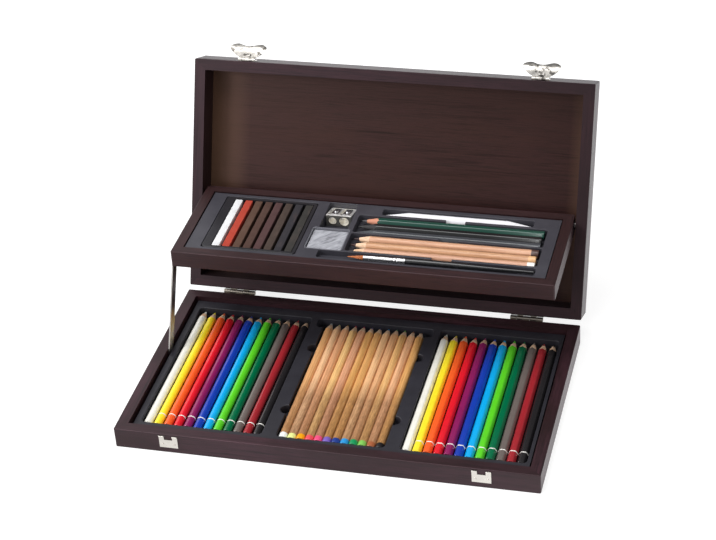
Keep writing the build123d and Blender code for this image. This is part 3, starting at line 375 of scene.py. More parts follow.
def pencil_mesh(name, length, radius, facets, cone, ring_at, dipped, lead=1.75 * MM):
    """A sharpened pencil from the origin along +Y, its faces marked with what they are."""
    segments, point, lacquer, bevel, ring_width = 36, 0.58 * MM, 0.06 * MM, 0.35 * MM, 1.2 * MM
    lip, scraped_lip, rounded_corner = 0.05 * MM, 0.12 * MM, 1.10
    waviness, lead_step, blunt = 0.25 * MM, 0.2 * MM, 0.3 * MM
    angles = [2 * math.pi * i / segments for i in range(segments)]
    if facets:
        half = math.pi / facets
        outline = [radius * min(1 / math.cos((a % (2 * half)) - half), rounded_corner) for a in angles]
    else:
        outline = [radius] * segments
    slope = (radius - point) / cone
    starts = [length - (r - point) / slope for r in outline]
    end_colour = DIPPED if dipped else BARREL
    rings = [
        ([0.0] * segments, [lead * 0.8] * segments, LEAD),
        ([0.0] * segments, [r - bevel for r in outline], end_colour),
        ([bevel] * segments, outline, end_colour),
    ]
    if dipped:
        rings.append(([dipped] * segments, outline, DIPPED))
        rings.append(([dipped + lacquer] * segments, [r - lacquer / 2 for r in outline], BARREL))
    if ring_at:
        rings.append(([ring_at] * segments, outline, BARREL))
        rings.append(([ring_at + ring_width] * segments, outline, RING))
    for share in (0.3, 0.6, 0.85):
        rings.append(([share * length] * segments, outline, BARREL))
    wave = [waviness * math.sin(3 * a + 1) if not facets else 0.0 for a in angles]
    rings.append(([s + w - lip for s, w in zip(starts, wave)], outline, BARREL))
    rings.append(([s + w + scraped_lip for s, w in zip(starts, wave)],
                  [point + (length - s - w - scraped_lip) * slope for s, w in zip(starts, wave)], BARREL))
    lead_start = length - (lead - point) / slope
    middle = (max(starts) + lead_start) / 2
    for y in (middle, lead_start):
        rings.append(([y] * segments, [point + (length - y) * slope] * segments, BARE))
    rings.append(([lead_start + lead_step] * segments, [lead - lead_step / 2] * segments, LEAD))
    rings.append(([length - blunt] * segments, [point + 0.02 * MM] * segments, LEAD))
    vertices, faces, parts = [], [], []
    for ys, radii, part in rings:
        vertices += [(r * math.cos(a), y, r * math.sin(a)) for a, y, r in zip(angles, ys, radii)]
    for k in range(1, len(rings)):
        for i in range(segments):
            j = (i + 1) % segments
            a, b = (k - 1) * segments, k * segments
            faces.append((a + i, b + i, b + j, a + j))
            parts.append(rings[k][2])
    vertices += [(0, 0, 0), (0, length - 0.05 * MM, 0)]
    last = (len(rings) - 1) * segments
    for i in range(segments):
        j = (i + 1) % segments
        faces.append((len(vertices) - 2, i, j))
        faces.append((len(vertices) - 1, last + j, last + i))
        parts += [LEAD, LEAD]
    mesh = bpy.data.meshes.new(name)
    mesh.from_pydata(vertices, [], faces)
    mesh.attributes.new("part", "FLOAT", "FACE").data.foreach_set("value", parts)
    mesh.shade_smooth()
    mesh.set_sharp_from_angle(angle=math.radians(32))
    return mesh


def new_tree(name, *inputs):
    """An empty tree with named inputs, and the sockets on which they arrive."""
    group = bpy.data.node_groups.new(name, "GeometryNodeTree")
    group.interface.new_socket("Geometry", in_out="OUTPUT", socket_type="NodeSocketGeometry")
    for label, kind in inputs:
        group.interface.new_socket(label, in_out="INPUT", socket_type="NodeSocket" + kind)
    return group, group.nodes.new("NodeGroupInput").outputs


def end_tree(group, laid, finish):
    """Makes the laid copies real, gives them their material and hands them out."""
    real = put(group, "GeometryNodeRealizeInstances", {"Geometry": laid.outputs[0]})
    dressed = put(group, "GeometryNodeSetMaterial", {"Geometry": real.outputs[0], "Material": finish})
    result = group.nodes.new("NodeGroupOutput")
    group.links.new(dressed.outputs[0], result.inputs[0])
    return group


def scaled(tree, vector, share):
    """A vector times a number."""
    made = put(tree, "ShaderNodeVectorMath", {0: vector, "Scale": share}, operation="SCALE")
    return made.outputs[0]


def row_of_pieces():
    """The tree that lays a piece out in a row, numbers the copies and makes them one mesh."""
    group, given = new_tree(
        "row of pieces", ("Geometry", "Geometry"), ("Piece", "Object"), ("Count", "Int"), ("First", "Vector"),
        ("Step", "Vector"), ("Slide", "Vector"), ("Roll", "Vector"), ("Seed", "Int"), ("Finish", "Material"),
    )
    line = put(group, "GeometryNodeMeshLine", {
        "Count": given["Count"], "Start Location": given["First"], "Offset": given["Step"],
    })
    index = put(group, "GeometryNodeInputIndex").outputs[0]
    numbered = put(group, "GeometryNodeStoreNamedAttribute", {
        "Geometry": line.outputs[0], "Name": "number", "Value": index,
    }, data_type="FLOAT", domain="POINT")
    roll_seed = reckon(group, "ADD", given["Seed"], 100.0)
    chance = {"ID": index, "Seed": given["Seed"]}
    shift = put(group, "FunctionNodeRandomValue", chance, data_type="FLOAT").outputs[1]
    chance = {"ID": index, "Seed": roll_seed}
    turn = put(group, "FunctionNodeRandomValue", chance, data_type="FLOAT").outputs[1]
    moved = put(group, "GeometryNodeSetPosition", {
        "Geometry": numbered.outputs[0], "Offset": scaled(group, given["Slide"], shift),
    })
    piece = put(group, "GeometryNodeObjectInfo", {"Object": given["Piece"]}, transform_space="ORIGINAL")
    laid = put(group, "GeometryNodeInstanceOnPoints", {
        "Points": moved.outputs[0], "Instance": piece.outputs["Geometry"],
        "Rotation": scaled(group, given["Roll"], turn),
    })
    return end_tree(group, laid, given["Finish"])


def grow_mesh(name, group, values):
    """Runs a tree once and keeps its result as a plain mesh."""
    carrier = bpy.data.objects.new(name, bpy.data.meshes.new(name))
    bpy.context.scene.collection.objects.link(carrier)
    modifier = carrier.modifiers.new("made", "NODES")
    modifier.node_group = group
    for item in group.interface.items_tree:
        if item.in_out == "INPUT" and item.name in values:
            modifier[item.identifier] = values[item.name]
    ready = carrier.evaluated_get(bpy.context.evaluated_depsgraph_get())
    mesh = bpy.data.meshes.new_from_object(ready)
    carrier.modifiers.clear()
    carrier.data = mesh
    mesh.name = name
    return carrier


rows_tree = row_of_pieces()


def lay_row(name, mesh, count, first, step, finish, slide=(0, 0, 0), roll=(0, 0, 0), seed=1):
    """A row of one mesh as a plain object."""
    pattern = bpy.data.objects.new(name + "_pattern", mesh)
    bpy.context.scene.collection.objects.link(pattern)
    made = grow_mesh(name, rows_tree, {
        "Piece": pattern, "Count": count, "First": Vector(first), "Step": Vector(step),
        "Slide": Vector(slide), "Roll": Vector(roll), "Seed": seed, "Finish": finish,
    })
    bpy.data.objects.remove(pattern)
    return made


def numbered_colour(tree, colours):
    """Each copy's own colour, by its number in the row."""
    number = put(tree, "ShaderNodeAttribute", attribute_name="number", attribute_type="GEOMETRY")
    place = stretch(tree, number.outputs["Fac"], 0.0, 1.0, -0.5, len(colours) - 0.5)
    made = put(tree, "ShaderNodeValToRGB", {"Fac": place})
    made.color_ramp.interpolation = "CONSTANT"
    line = made.color_ramp.elements
    while len(line) < len(colours):
        line.new(0.5)
    for i, colour in enumerate(colours):
        line[i].position = i / len(colours)
    for i, colour in enumerate(colours):
        line[i].color = colour
    return made.outputs["Color"]


def is_part(tree, part):
    """1 on the faces marked as that part."""
    mark = put(tree, "ShaderNodeAttribute", attribute_name="part", attribute_type="GEOMETRY")
    return reckon(tree, "COMPARE", mark.outputs["Fac"], float(part), 0.3)


def pencil_finish(name, colours, barrels=None, grain=(0.9 * MM, 50 * MM, 0.9 * MM), gloss=0.2, cones=None,
                  leads=None, handled=None):
    """Lacquer or bare wood on the barrel, scraped wood on the cone or a given cone colour, pigment at the
    point.
    """
    material, tree, shader, where = new_finish(name)
    own = numbered_colour(tree, colours)
    lead = numbered_colour(tree, leads) if leads else own
    streaks = noise(tree, where, grain, 5.0, 0.6)
    scraped = ramp(tree, streaks, (0.3, paint(206, 162, 126)), (0.7, paint(240, 210, 180)))
    # Given cone colours replace the scraped wood; the dark ones are painted shade.
    if cones:
        scraped = mix(tree, stretch(tree, streaks, 0.0, 0.25), numbered_colour(tree, cones), grey(0.0))
    if barrels:
        specks = noise(tree, where, tuple(g * 0.35 for g in grain), 2.0, 0.5)
        body = numbered_colour(tree, barrels)
        body = mix(tree, ramp(tree, streaks, (0.32, 0.34), (0.56, 0.0)), body, paint(120, 74, 44))
        body = mix(tree, ramp(tree, streaks, (0.52, 0.0), (0.74, 0.30)), body, paint(255, 226, 184))
        body = mix(tree, ramp(tree, specks, (0.34, 0.35), (0.42, 0.0)), body, paint(104, 66, 40))
        if handled:
            body = mix(tree, handled(tree, where), body, paint(112, 74, 48))
    else:
        mottle = noise(tree, where, 6 * MM, 3.0)
        body = mix(tree, stretch(tree, mottle, -0.05, 0.16), own, grey(0.0))
    colour = mix(tree, is_part(tree, DIPPED), body, own)
    colour = mix(tree, is_part(tree, BARE), colour, scraped)
    colour = mix(tree, is_part(tree, LEAD), colour, lead)
    colour = mix(tree, is_part(tree, RING), colour, paint(238, 236, 230))
    tree.links.new(colour, shader.inputs["Base Color"])
    rough = ramp(tree, streaks, (0.3, gloss), (0.8, gloss + 0.1))
    rough = mix(tree, is_part(tree, BARE), rough, grey(0.7))
    rough = mix(tree, is_part(tree, LEAD), rough, grey(0.55))
    tree.links.new(rough, shader.inputs["Roughness"])
    raise_surface(tree, shader, mix(tree, is_part(tree, BARE), grey(0.5), streaks), 0.08 * MM, 0.6)
    raise_surface(tree, shader, streaks, 0.02 * MM, 0.6 if barrels else 0.15)
    return material


def darker_end(tree, where):
    """More where a pencil is held, at its back end."""
    back = stretch(tree, parts_of(tree, where)["Y"], 0.0, 1.05, 0.0, -30 * MM)
    patches = noise(tree, where, (1.2 * MM, 6 * MM, 1.2 * MM), 3.0, 0.6)
    return reckon(tree, "MULTIPLY", back, patches)


in_a_row = 12
pencil_length, pencil_cone, ring_place, dipped_length = 181 * MM, 12 * MM, 13.5 * MM, 6 * MM
colour_radius, colour_pitch, colour_lead = 4.0 * MM, 9.5 * MM, 1.9 * MM
natural_radius, natural_pitch, natural_lead = 4.05 * MM, 8.2 * MM, 1.5 * MM
lengthwise_play, any_roll = 0.8 * MM, 6.0
twelve_colours = [
    paint(240, 238, 228), paint(255, 230, 48), paint(246, 96, 40), paint(226, 28, 44),
    paint(138, 30, 92), paint(24, 62, 172), paint(14, 170, 234), paint(92, 208, 38),
    paint(0, 104, 66), paint(108, 98, 94), paint(158, 38, 46), paint(36, 34, 36),
]
dipped_colours = [
    paint(244, 246, 246), paint(232, 240, 150), paint(248, 168, 10), paint(238, 82, 96),
    paint(240, 80, 130), paint(122, 98, 190), paint(30, 60, 140), paint(40, 150, 216),
    paint(20, 150, 90), paint(130, 200, 90), paint(170, 96, 60), paint(34, 32, 34),
]
honey_woods = [
    paint(234, 175, 117), paint(243, 193, 146), paint(229, 168, 122), paint(243, 195, 128),
    paint(227, 166, 128), paint(225, 168, 99), paint(231, 173, 106), paint(240, 189, 138),
    paint(229, 173, 124), paint(234, 182, 117), paint(234, 177, 132), paint(225, 168, 101),
]
lacquered = pencil_finish("lacquered_pencils", twelve_colours)
varnished = pencil_finish("varnished_pencils", dipped_colours, honey_woods, gloss=0.35,
                          leads=[darker(colour, 0.55) for colour in dipped_colours], handled=darker_end)
round_mesh = pencil_mesh(
    "round_pencil", pencil_length, colour_radius, 0, pencil_cone, ring_place, 0, colour_lead)
six_mesh = pencil_mesh(
    "six_sided_pencil", pencil_length, colour_radius, 6, pencil_cone, ring_place, 0, colour_lead)
bare_mesh = pencil_mesh(
    "bare_pencil", pencil_length, natural_radius, 0, pencil_cone, 0, dipped_length, natural_lead)
for name, mesh, pitch, finish, roll, slot in (
    ("round_colour_pencils", round_mesh, colour_pitch, lacquered, any_roll, "colour_pencil"),
    ("natural_pencils", bare_mesh, natural_pitch, varnished, any_roll, "natural_pencil"),
    ("six_sided_colour_pencils", six_mesh, colour_pitch, lacquered, 0.0, "colour_pencil"),
):
    low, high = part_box(name)
    first = ((low.x + high.x) / 2 - (in_a_row - 1) / 2 * pitch, low.y, (low.z + high.z) / 2)
    made = lay_row("row_of_" + name, mesh, in_a_row, first, (pitch, 0, 0), finish,
                   (0, lengthwise_play, 0), (0, roll, 0), seed=4)
    made.data.transform(Matrix.Translation((0, -lengthwise_play / 2, 0)))
    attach(made, "base")
    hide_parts(name)

# Hinges, keepers and latches.
# Pressed steel leaves, plates and levers with a bright nickel plate, held by small nails and
# flat-headed screws. Each latch's flared lever turns on a pin in the lid and snaps on a keeper.


def bright_metal(name, tone, roughness, scratch=(4 * MM, 0.3 * MM, 0.6 * MM), marks=0.08):
    """Plated or brushed metal with faint smears and fine scratches."""
    material, tree, shader, where = new_finish(name, metallic=1.0)
    smears = noise(tree, where, 8 * MM, 4.0, 0.6)
    scratches = noise(tree, where, scratch, 3.0, 0.6, (0.2, 0.1, 0.7))
    tree.links.new(ramp(tree, smears, (0.3, darker(tone, 0.9)), (0.7, tone)), shader.inputs["Base Color"])
    worn = mix(tree, 0.5, ramp(tree, smears, (0.35, roughness), (0.7, roughness + marks)),
               ramp(tree, scratches, (0.4, roughness), (0.7, roughness + 2 * marks)))
    tree.links.new(worn, shader.inputs["Roughness"])
    raise_surface(tree, shader, scratches, 0.01 * MM, 0.3)
    return material


finish_nodes(
    bright_metal("bright_nickel", (0.70, 0.67, 0.62, 1), 0.15), "nickel",
    "keeper_left", "keeper_right", "keeper_nails", "latch_left_plate", "latch_right_plate",
    "latch_left_pin", "latch_right_pin", "latch_nails",
)

# The levers are shallowly dished by the press, and spotted with painted dark reflections.
dish_size, dish_depth = 9 * MM, 1.4 * MM
dark_reflection_size, dark_reflection_tone = (7 * MM, 4 * MM, 4 * MM), (0.05, 0.045, 0.04, 1)
pressed = bright_metal("pressed_nickel", (0.46, 0.44, 0.41, 1), 0.30)
tree, shader, where = reopened(pressed)
raise_surface(tree, shader, noise(tree, where, dish_size, 1.0, 0.4), dish_depth, 0.7)
# The dark spots are painted reflections of dark surroundings.
dark_reflection_spots = ramp(tree, noise(tree, where, dark_reflection_size, 2.0, 0.5), (0.54, 0.0), (0.60, 0.85))
tree.links.new(mix(tree, dark_reflection_spots, colour_so_far(shader), dark_reflection_tone), shader.inputs["Base Color"])
finish_nodes(pressed, "nickel", "latch_left_lever", "latch_right_lever")

# The hinges are painted darker than the latches, as shade on knuckles in shadow, and are duller.
finish_nodes(
    bright_metal("shade_darkened_nickel", (0.30, 0.27, 0.23, 1), 0.26), "nickel",
    "hinge_left_base_leaf", "hinge_right_base_leaf", "hinge_left_pin", "hinge_right_pin",
    "base_hinge_screws", "hinge_left_lid_leaf", "hinge_right_lid_leaf", "lid_hinge_screws",
)

# The support arm, its rivets and the tray's pivots.
# One flat bar of brushed steel on the left, riveted to the base and the tray, and two
# blackened steel pins fixed in the lid on which the back of the tray hangs.

along_the_arm = (0.3 * MM, 6 * MM, 12 * MM)
brushed_steel = bright_metal("brushed_steel", (0.48, 0.46, 0.44, 1), 0.30, along_the_arm)
finish_nodes(brushed_steel, "steel", "support_arm", "arm_foot_rivet", "arm_top_rivet")
blackened_steel = bright_metal("blackened_steel", (0.09, 0.08, 0.08, 1), 0.38)
finish_nodes(blackened_steel, "steel", "tray_pivot_pin_left", "tray_pivot_pin_right")

# The tray's frame.
# Mitred rails of the same wood, a little redder and duller, with a thin panel let into
# their undersides.

tray_tones = (paint(8, 2, 3), paint(50, 28, 28), paint(36, 15, 13))
tray_wood_x = stained_wood("tray_wood_long", tray_tones, along_x, gloss=0.5)
tray_wood_y = stained_wood("tray_wood_side", tray_tones, along_y, gloss=0.5)
finish_nodes(tray_wood_x, "dark_wood", "tray_front_rail", "tray_back_rail")
finish_nodes(tray_wood_y, "dark_wood", "tray_left_rail", "tray_right_rail")
finish_nodes(base_veneer, "panel_wood", "tray_bottom_panel")

# The insert in the tray.
# A slate-grey sheet, formed as the base's, with a pocket for each tool and a finger channel
# across the wells. It lies on the tray's panel.

slate_sheet = formed_sheet("slate_sheet", paint(54, 53, 60), paint(66, 65, 72))
finish_nodes(slate_sheet, "grey_insert", "tray_insert")

# The chalk box and its sticks.
# A dark grey moulded box, dropped into its pocket, with eight square sticks of pressed chalk.
# The chalks are dusty and a little chipped at the edges.

box_plastic = formed_sheet("chalk_box_plastic", paint(29, 28, 32), paint(38, 37, 42), 0.8 * MM)
finish_nodes(box_plastic, "black_box", "chalk_box")


def chalk_mesh(name, size, length):
    """A square stick with softened, chipped edges."""
    edge, chipped_share, deepest_chip = 0.45 * MM, 0.35, 0.35
    shape = bmesh.new()
    bmesh.ops.create_cube(shape, size=1.0)
    for vertex in shape.verts:
        vertex.co = Vector((vertex.co.x * size, vertex.co.y * length, vertex.co.z * size))
    bmesh.ops.bevel(shape, geom=shape.edges[:], offset=edge, segments=2, affect="EDGES", profile=0.6)
    long_edges = [e for e in shape.edges if e.calc_length() > 0.5 * length]
    bmesh.ops.subdivide_edges(shape, edges=long_edges, cuts=40, use_grid_fill=True)
    chips = random.Random(7)
    near_edge = size * 0.42
    for vertex in shape.verts:
        on_edge = abs(vertex.co.x) > near_edge and abs(vertex.co.z) > near_edge
        if on_edge and chips.random() < chipped_share:
            depth = chips.uniform(0.0, deepest_chip) * MM
            vertex.co.x -= math.copysign(depth, vertex.co.x)
            vertex.co.z -= math.copysign(depth, vertex.co.z)
    mesh = bpy.data.meshes.new(name)
    shape.to_mesh(mesh)
    shape.free()
    mesh.shade_smooth()
    mesh.set_sharp_from_angle(angle=math.radians(40))
    return mesh


def chalk_finish(name, colours):
    """Dry pressed pigment: matt, grainy and smudged."""
    material, tree, shader, where = new_finish(name, 0.95)
    grit = noise(tree, where, 0.6 * MM, 3.0, 0.7)
    smudge = noise(tree, where, (4 * MM, 20 * MM, 4 * MM), 4.0, 0.6)
    colour = mix(tree, stretch(tree, grit, -0.1, 0.22), numbered_colour(tree, colours), grey(0.0))
    colour = mix(tree, ramp(tree, smudge, (0.55, 0.0), (0.8, 0.12)), colour, paint(150, 120, 110))
    tree.links.new(colour, shader.inputs["Base Color"])
    shader.inputs["Specular IOR Level"].default_value = 0.15
    raise_surface(tree, shader, grit, 0.12 * MM, 0.7)
    return material


chalk_colours = [
    paint(228, 228, 230), paint(176, 68, 54), paint(90, 68, 58), paint(80, 60, 54),
    paint(82, 60, 60), paint(72, 61, 56), paint(54, 52, 56), paint(58, 56, 54),
]
chalk_size = 7.2 * MM
low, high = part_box("chalk_sticks")
chalk_pitch = (high.x - low.x - chalk_size) / (len(chalk_colours) - 1)
first = (low.x + chalk_size / 2, (low.y + high.y) / 2, (low.z + high.z) / 2)
sticks = lay_row("chalks", chalk_mesh("chalk", chalk_size, high.y - low.y), len(chalk_colours), first,
                 (chalk_pitch, 0, 0), chalk_finish("pressed_chalk", chalk_colours))
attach(sticks, "tray")
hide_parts("chalk_sticks")

# The double sharpener.
# A cast magnesium wedge with two tapered holes, and two steel blades held by a screw each.
# Painted shade darkens the front; each hole has a painted dark ring of shade and a painted bright bore.

# A hole's distance from the middle of the front, and its radius there.
small_hole, large_hole = (-6.2 * MM, 4.0 * MM), (5.2 * MM, 4.8 * MM)
half_shade_ring, front_skin = 0.5 * MM, 0.3 * MM
magnesium = bright_metal("cast_magnesium", (0.80, 0.79, 0.78, 1), 0.38, marks=0.1)
tree, shader, where = reopened(magnesium)
shader.inputs["Metallic"].default_value = 0.55
low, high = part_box("sharpener_body")
on_front = reckon(tree, "LESS_THAN", parts_of(tree, where)["Y"], low.y + front_skin)
# The front face is painted a darker grey, as shade.
metal = mix(tree, on_front, colour_so_far(shader), paint(120, 118, 114))
flat = put(tree, "ShaderNodeVectorMath", {0: where, 1: (1, 0, 1)}, operation="MULTIPLY").outputs[0]
for hole_x, hole_radius in (small_hole, large_hole):
    centre = ((low.x + high.x) / 2 + hole_x, 0, (low.z + high.z) / 2)
    away = put(tree, "ShaderNodeVectorMath", {0: flat, 1: centre}, operation="DISTANCE").outputs["Value"]
    shade_ring = reckon(tree, "MULTIPLY", reckon(tree, "COMPARE", away, hole_radius, half_shade_ring), on_front)
    # The bore is painted near white as a highlight, and a ring of painted shade lies round its mouth.
    metal = mix(tree, reckon(tree, "LESS_THAN", away, hole_radius), metal, paint(252, 248, 238))
    metal = mix(tree, shade_ring, metal, paint(30, 28, 28))
tree.links.new(metal, shader.inputs["Base Color"])
finish_nodes(magnesium, "magnesium", "sharpener_body")
blade_steel = bright_metal("blade_steel", (0.55, 0.55, 0.56, 1), 0.22)
finish_nodes(blade_steel, "steel", "sharpener_blades", "sharpener_screws")

# The kneadable eraser in its case.
# A soft grey putty block, kneaded into slanting folds, in a thin frosted case that is
# dropped into its pocket.

frosted, tree, shader, where = new_finish("frosted_plastic", 0.28)
shader.inputs["Base Color"].default_value = paint(140, 140, 148)
shader.inputs["Alpha"].default_value = 0.55
raise_surface(tree, shader, noise(tree, where, 4 * MM, 3.0), 0.05 * MM, 0.4)
finish_nodes(frosted, "clear_case", "eraser_case")
putty, tree, shader, where = new_finish("grey_putty", 0.7)
folds = noise(tree, where, (20 * MM, 4 * MM, 10 * MM), 4.0, 0.6, (0, 0, 0.8), 1.5)
# The putty is painted darker in the hollows of its folds and paler on their ridges, as shade and highlight.
fold_shade_and_highlight = ((0.30, paint(92, 93, 99)), (0.46, paint(148, 149, 156)), (0.7, paint(180, 181, 188)))
tree.links.new(ramp(tree, folds, *fold_shade_and_highlight), shader.inputs["Base Color"])
raise_surface(tree, shader, folds, 0.5 * MM, 0.6)
finish_nodes(putty, "eraser", "kneadable_eraser")

# The loose pencils in the tray.
# Three round ones of bare varnished wood and three six-sided lacquered ones, points to the
# left, each in its own row of the wide well.


def turned_to_x(mesh):
    """The same mesh lying along X with its point to the left."""
    mesh.transform(Matrix.Rotation(math.pi / 2, 4, "Z"))
    return mesh


loose_count = 3
sketch_length, sketch_radius, sketch_cone, sketch_pitch = 178 * MM, 3.9 * MM, 16 * MM, 10.5 * MM
bare_dipped, dark_dipped = 7 * MM, 2.5 * MM
along_pencil = (30 * MM, 0.9 * MM, 0.9 * MM)
bare_sketch = turned_to_x(
    pencil_mesh("bare_sketch", sketch_length, sketch_radius, 0, sketch_cone, 0, bare_dipped))
dark_sketch = turned_to_x(
    pencil_mesh("dark_sketch", sketch_length, sketch_radius, 6, sketch_cone, 0, dark_dipped))
bare_finish = pencil_finish(
    "bare_sketch_wood", [paint(236, 232, 226), paint(214, 168, 120), paint(74, 50, 44)],
    [paint(206, 156, 128), paint(198, 148, 110), paint(206, 156, 124)], along_pencil, 0.35,
    leads=[paint(44, 34, 34), paint(58, 32, 30), paint(50, 30, 32)],
)
dark_finish = pencil_finish(
    "dark_lacquer", [paint(64, 67, 72), paint(18, 19, 21), paint(14, 66, 54)], grain=along_pencil,
    # The slate and black pencils' cones are painted dark as shade; the green one's is its wood.
    cones=[paint(70, 74, 78), paint(44, 42, 44), paint(214, 146, 118)],
    leads=[paint(60, 62, 66), paint(36, 35, 36), paint(70, 68, 72)],
)
for name, mesh, finish, slot in (
    ("sketch_pencils_natural", bare_sketch, bare_finish, "natural_pencil"),
    ("sketch_pencils_lacquered", dark_sketch, dark_finish, "dark_pencil"),
):
    low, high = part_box(name)
    first = (high.x, (low.y + high.y) / 2 - (loose_count - 1) / 2 * sketch_pitch, (low.z + high.z) / 2)
    made = lay_row("loose_" + name, mesh, loose_count, first, (0, sketch_pitch, 0), finish,
                   (lengthwise_play, 0, 0), seed=9)
    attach(made, "tray")
    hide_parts(name)

# The blending stump.
# White paper rolled tight and pointed at both ends, so the paper's edge winds round the
# cones. It lies loose in its slot.


def lathe(name, outline, segments=48, wobble=None):
    """A piece turned about X from (distance, radius) pairs, closed at both ends."""
    vertices, faces = [], []
    for distance, radius in outline:
        for i in range(segments):
            a = 2 * math.pi * i / segments
            r = radius + (wobble(distance, a) if wobble else 0.0)
            vertices.append((distance, r * math.cos(a), r * math.sin(a)))
    for k in range(len(outline) - 1):
        for i in range(segments):
            j = (i + 1) % segments
            a, b = k * segments, (k + 1) * segments
            faces.append((a + i, a + j, b + j, b + i))
    faces.append(tuple(reversed(range(segments))))
    top = (len(outline) - 1) * segments
    faces.append(tuple(range(top, top + segments)))
    mesh = bpy.data.meshes.new(name)
    mesh.from_pydata(vertices, [], faces)
    shape = bmesh.new()
    shape.from_mesh(mesh)
    bmesh.ops.recalc_face_normals(shape, faces=shape.faces)
    shape.to_mesh(mesh)
    shape.free()
    mesh.shade_smooth()
    mesh.set_sharp_from_angle(angle=math.radians(38))
    made = bpy.data.objects.new(name, mesh)
    bpy.context.scene.collection.objects.link(made)
    return made


def stand_in_for(made, node, body, material):
    """Puts a turned piece on its node's line and lets it take the node's place."""
    low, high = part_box(node)
    made.data.transform(Matrix.Translation((low.x, (low.y + high.y) / 2, (low.z + high.z) / 2)))
    made.data.materials.append(material)
    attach(made, body)
    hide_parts(node)


low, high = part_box("blending_stump")
stump_length, stump_radius, stump_cone, stump_tip = high.x - low.x, (high.y - low.y) / 2, 24 * MM, 0.6 * MM
winding, paper_step, shoulder = 2.2 * MM, 0.14 * MM, 0.2 * MM
ring_millimetres = 0.35
cone_rings = int(stump_cone / (ring_millimetres * MM)) + 1


def paper_edge(distance, angle):
    """The step where one turn of paper lies over the next on a cone."""
    end = min(distance, stump_length - distance)
    if end > stump_cone:
        return 0.0
    turns = end / winding + angle / (2 * math.pi)
    return -paper_step * (turns - math.floor(turns))


rising = []
for i in range(cone_rings):
    distance = i * ring_millimetres * MM
    rising.append((distance, stump_tip + (stump_radius - stump_tip) * distance / stump_cone))
straight = (stump_cone + shoulder, stump_length / 2, stump_length - stump_cone - shoulder)
outline = rising + [(distance, stump_radius) for distance in straight]
outline += [(stump_length - distance, radius) for distance, radius in reversed(rising)]
paper, tree, shader, where = new_finish("rolled_paper", 0.9)
fibres = noise(tree, where, (6 * MM, 0.8 * MM, 0.8 * MM), 5.0, 0.65)
whites = ((0.3, paint(226, 225, 230)), (0.7, paint(244, 243, 246)))
tree.links.new(ramp(tree, fibres, *whites), shader.inputs["Base Color"])
raise_surface(tree, shader, fibres, 0.05 * MM, 0.4)
stand_in_for(lathe("stump", outline, 64, paper_edge), "blending_stump", "tray", paper)

# The brush.
# A pointed tuft of brown hair in a drawn ferrule with two crimps, on a black lacquered handle.
# The handle swells behind the ferrule and thins to its end.

low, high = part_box("brush_ferrule")
mouth, rear = 2.55 * MM, 3.0 * MM
crimps, crimp_depth, crimp_width, ferrule_steps = (0.72, 0.80), 0.28 * MM, 0.014, 80
outline = []
for i in range(ferrule_steps + 1):
    share = i / ferrule_steps
    crimp = sum(crimp_depth * math.exp(-((share - at) / crimp_width) ** 2) for at in crimps)
    outline.append((share * (high.x - low.x), mouth + (rear - mouth) * share - crimp))
drawn = bright_metal("drawn_ferrule", (0.72, 0.72, 0.73, 1), 0.2)
stand_in_for(lathe("ferrule", outline), "brush_ferrule", "tray", drawn)

low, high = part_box("brush_handle")
handle_length, handle_steps = high.x - low.x, 60
front_radius, belly_radius, end_radius, belly_at = 2.9 * MM, 3.5 * MM, 1.7 * MM, 1 / 6


def handle_radius(share):
    """Swells from the ferrule to the belly, then thins to the end."""
    if share < belly_at:
        return front_radius + (belly_radius - front_radius) * math.sin(share / belly_at * math.pi / 2)
    past = (share - belly_at) / (1 - belly_at)
    return end_radius + (belly_radius - end_radius) * (0.5 + 0.5 * math.cos(math.pi * past))


shares = [i / handle_steps for i in range(handle_steps + 1)]
outline = [(share * handle_length, handle_radius(share)) for share in shares]
outline += [(handle_length, 1.2 * MM), (handle_length, 0.5 * MM)]
black_lacquer, tree, shader, where = new_finish("black_lacquer")
dust = noise(tree, where, 3 * MM, 4.0)
blacks = ((0.4, paint(22, 22, 24)), (0.8, paint(34, 34, 37)))
tree.links.new(ramp(tree, dust, *blacks), shader.inputs["Base Color"])
tree.links.new(ramp(tree, dust, (0.4, 0.14), (0.75, 0.26)), shader.inputs["Roughness"])
raise_surface(tree, shader, dust, 0.02 * MM, 0.3)
stand_in_for(lathe("handle", outline), "brush_handle", "tray", black_lacquer)


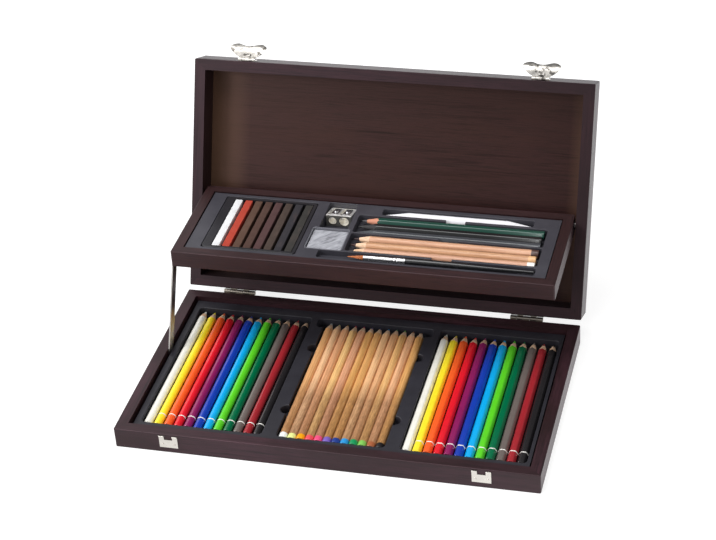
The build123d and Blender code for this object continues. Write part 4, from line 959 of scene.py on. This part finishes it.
def hair_tree():
    """Hairs that start on a disc in the ferrule's mouth and lean to a common point."""
    golden_angle, stray_along, stray_across = 2.39996, 0.9 * MM, 0.25 * MM
    group, given = new_tree(
        "tuft of hair", ("Geometry", "Geometry"), ("Hair", "Object"), ("Count", "Int"),
        ("Root radius", "Float"), ("Root", "Vector"), ("Point", "Vector"), ("Seed", "Int"),
        ("Finish", "Material"),
    )
    index = put(group, "GeometryNodeInputIndex").outputs[0]
    points = put(group, "GeometryNodePoints", {"Count": given["Count"]})
    reach_out = reckon(group, "SQRT", reckon(group, "DIVIDE", index, given["Count"]))
    out = reckon(group, "MULTIPLY", reach_out, given["Root radius"])
    angle = reckon(group, "MULTIPLY", index, golden_angle)
    spoke = put(group, "ShaderNodeCombineXYZ", {
        "Y": reckon(group, "COSINE", angle), "Z": reckon(group, "SINE", angle),
    })
    root = put(group, "ShaderNodeVectorMath", {
        0: given["Root"], 1: scaled(group, spoke.outputs[0], out),
    }, operation="ADD").outputs[0]
    placed = put(group, "GeometryNodeSetPosition", {"Geometry": points.outputs[0], "Position": root})
    loose = put(group, "FunctionNodeRandomValue", {
        0: (-stray_along, -stray_across, -stray_across), 1: (stray_along, stray_across, stray_across),
        "ID": index, "Seed": given["Seed"],
    }, data_type="FLOAT_VECTOR")
    tip = put(group, "ShaderNodeVectorMath", {0: given["Point"], 1: loose.outputs[0]}, operation="ADD")
    lean = put(group, "ShaderNodeVectorMath", {0: tip.outputs[0], 1: root}, operation="SUBTRACT").outputs[0]
    length = put(group, "ShaderNodeVectorMath", {0: lean}, operation="LENGTH").outputs["Value"]
    turn = put(group, "FunctionNodeAlignRotationToVector", {"Vector": lean}, axis="Z")
    size = put(group, "ShaderNodeCombineXYZ", {"X": 1.0, "Y": 1.0, "Z": length})
    hair = put(group, "GeometryNodeObjectInfo", {"Object": given["Hair"]}, transform_space="ORIGINAL")
    laid = put(group, "GeometryNodeInstanceOnPoints", {
        "Points": placed.outputs[0], "Instance": hair.outputs["Geometry"], "Rotation": turn.outputs[0],
        "Scale": size.outputs[0],
    })
    return end_tree(group, laid, given["Finish"])


hair_sides, hair_count, root_radius, inset = 5, 260, 2.3 * MM, 1.0 * MM
profile = [(0.0, 0.16 * MM), (0.35, 0.16 * MM), (0.7, 0.12 * MM), (0.9, 0.07 * MM), (1.0, 0.015 * MM)]
corners = [2 * math.pi * i / hair_sides for i in range(hair_sides)]
vertices = [(r * math.cos(a), r * math.sin(a), z) for z, r in profile for a in corners]
faces = []
for k in range(len(profile) - 1):
    for i in range(hair_sides):
        j = (i + 1) % hair_sides
        a, b = k * hair_sides, (k + 1) * hair_sides
        faces.append((a + i, a + j, b + j, b + i))
faces.append(tuple(reversed(range(hair_sides))))
faces.append(tuple(range(len(vertices) - hair_sides, len(vertices))))
hair_mesh = bpy.data.meshes.new("hair")
hair_mesh.from_pydata(vertices, [], faces)
hair_mesh.shade_smooth()
hair_pattern = bpy.data.objects.new("hair_pattern", hair_mesh)
bpy.context.scene.collection.objects.link(hair_pattern)
brown_hair, tree, shader, where = new_finish("brown_hair", 0.45)
strands = noise(tree, where, (10 * MM, 0.3 * MM, 0.3 * MM), 3.0, 0.6)
browns = ((0.3, paint(120, 58, 26)), (0.5, paint(196, 110, 56)), (0.7, paint(226, 150, 92)))
tree.links.new(ramp(tree, strands, *browns), shader.inputs["Base Color"])
raise_surface(tree, shader, strands, 0.03 * MM, 0.4)
low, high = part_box("brush_hair")
middle_y, middle_z = (low.y + high.y) / 2, (low.z + high.z) / 2
tuft = grow_mesh("tuft", hair_tree(), {
    "Hair": hair_pattern, "Count": hair_count, "Root radius": root_radius,
    "Root": Vector((high.x + inset, middle_y, middle_z)),
    "Point": Vector((low.x + inset, middle_y, middle_z)), "Seed": 3, "Finish": brown_hair,
})
bpy.data.objects.remove(hair_pattern)
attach(tuft, "tray")
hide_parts("brush_hair")

bpy.context.view_layer.update()
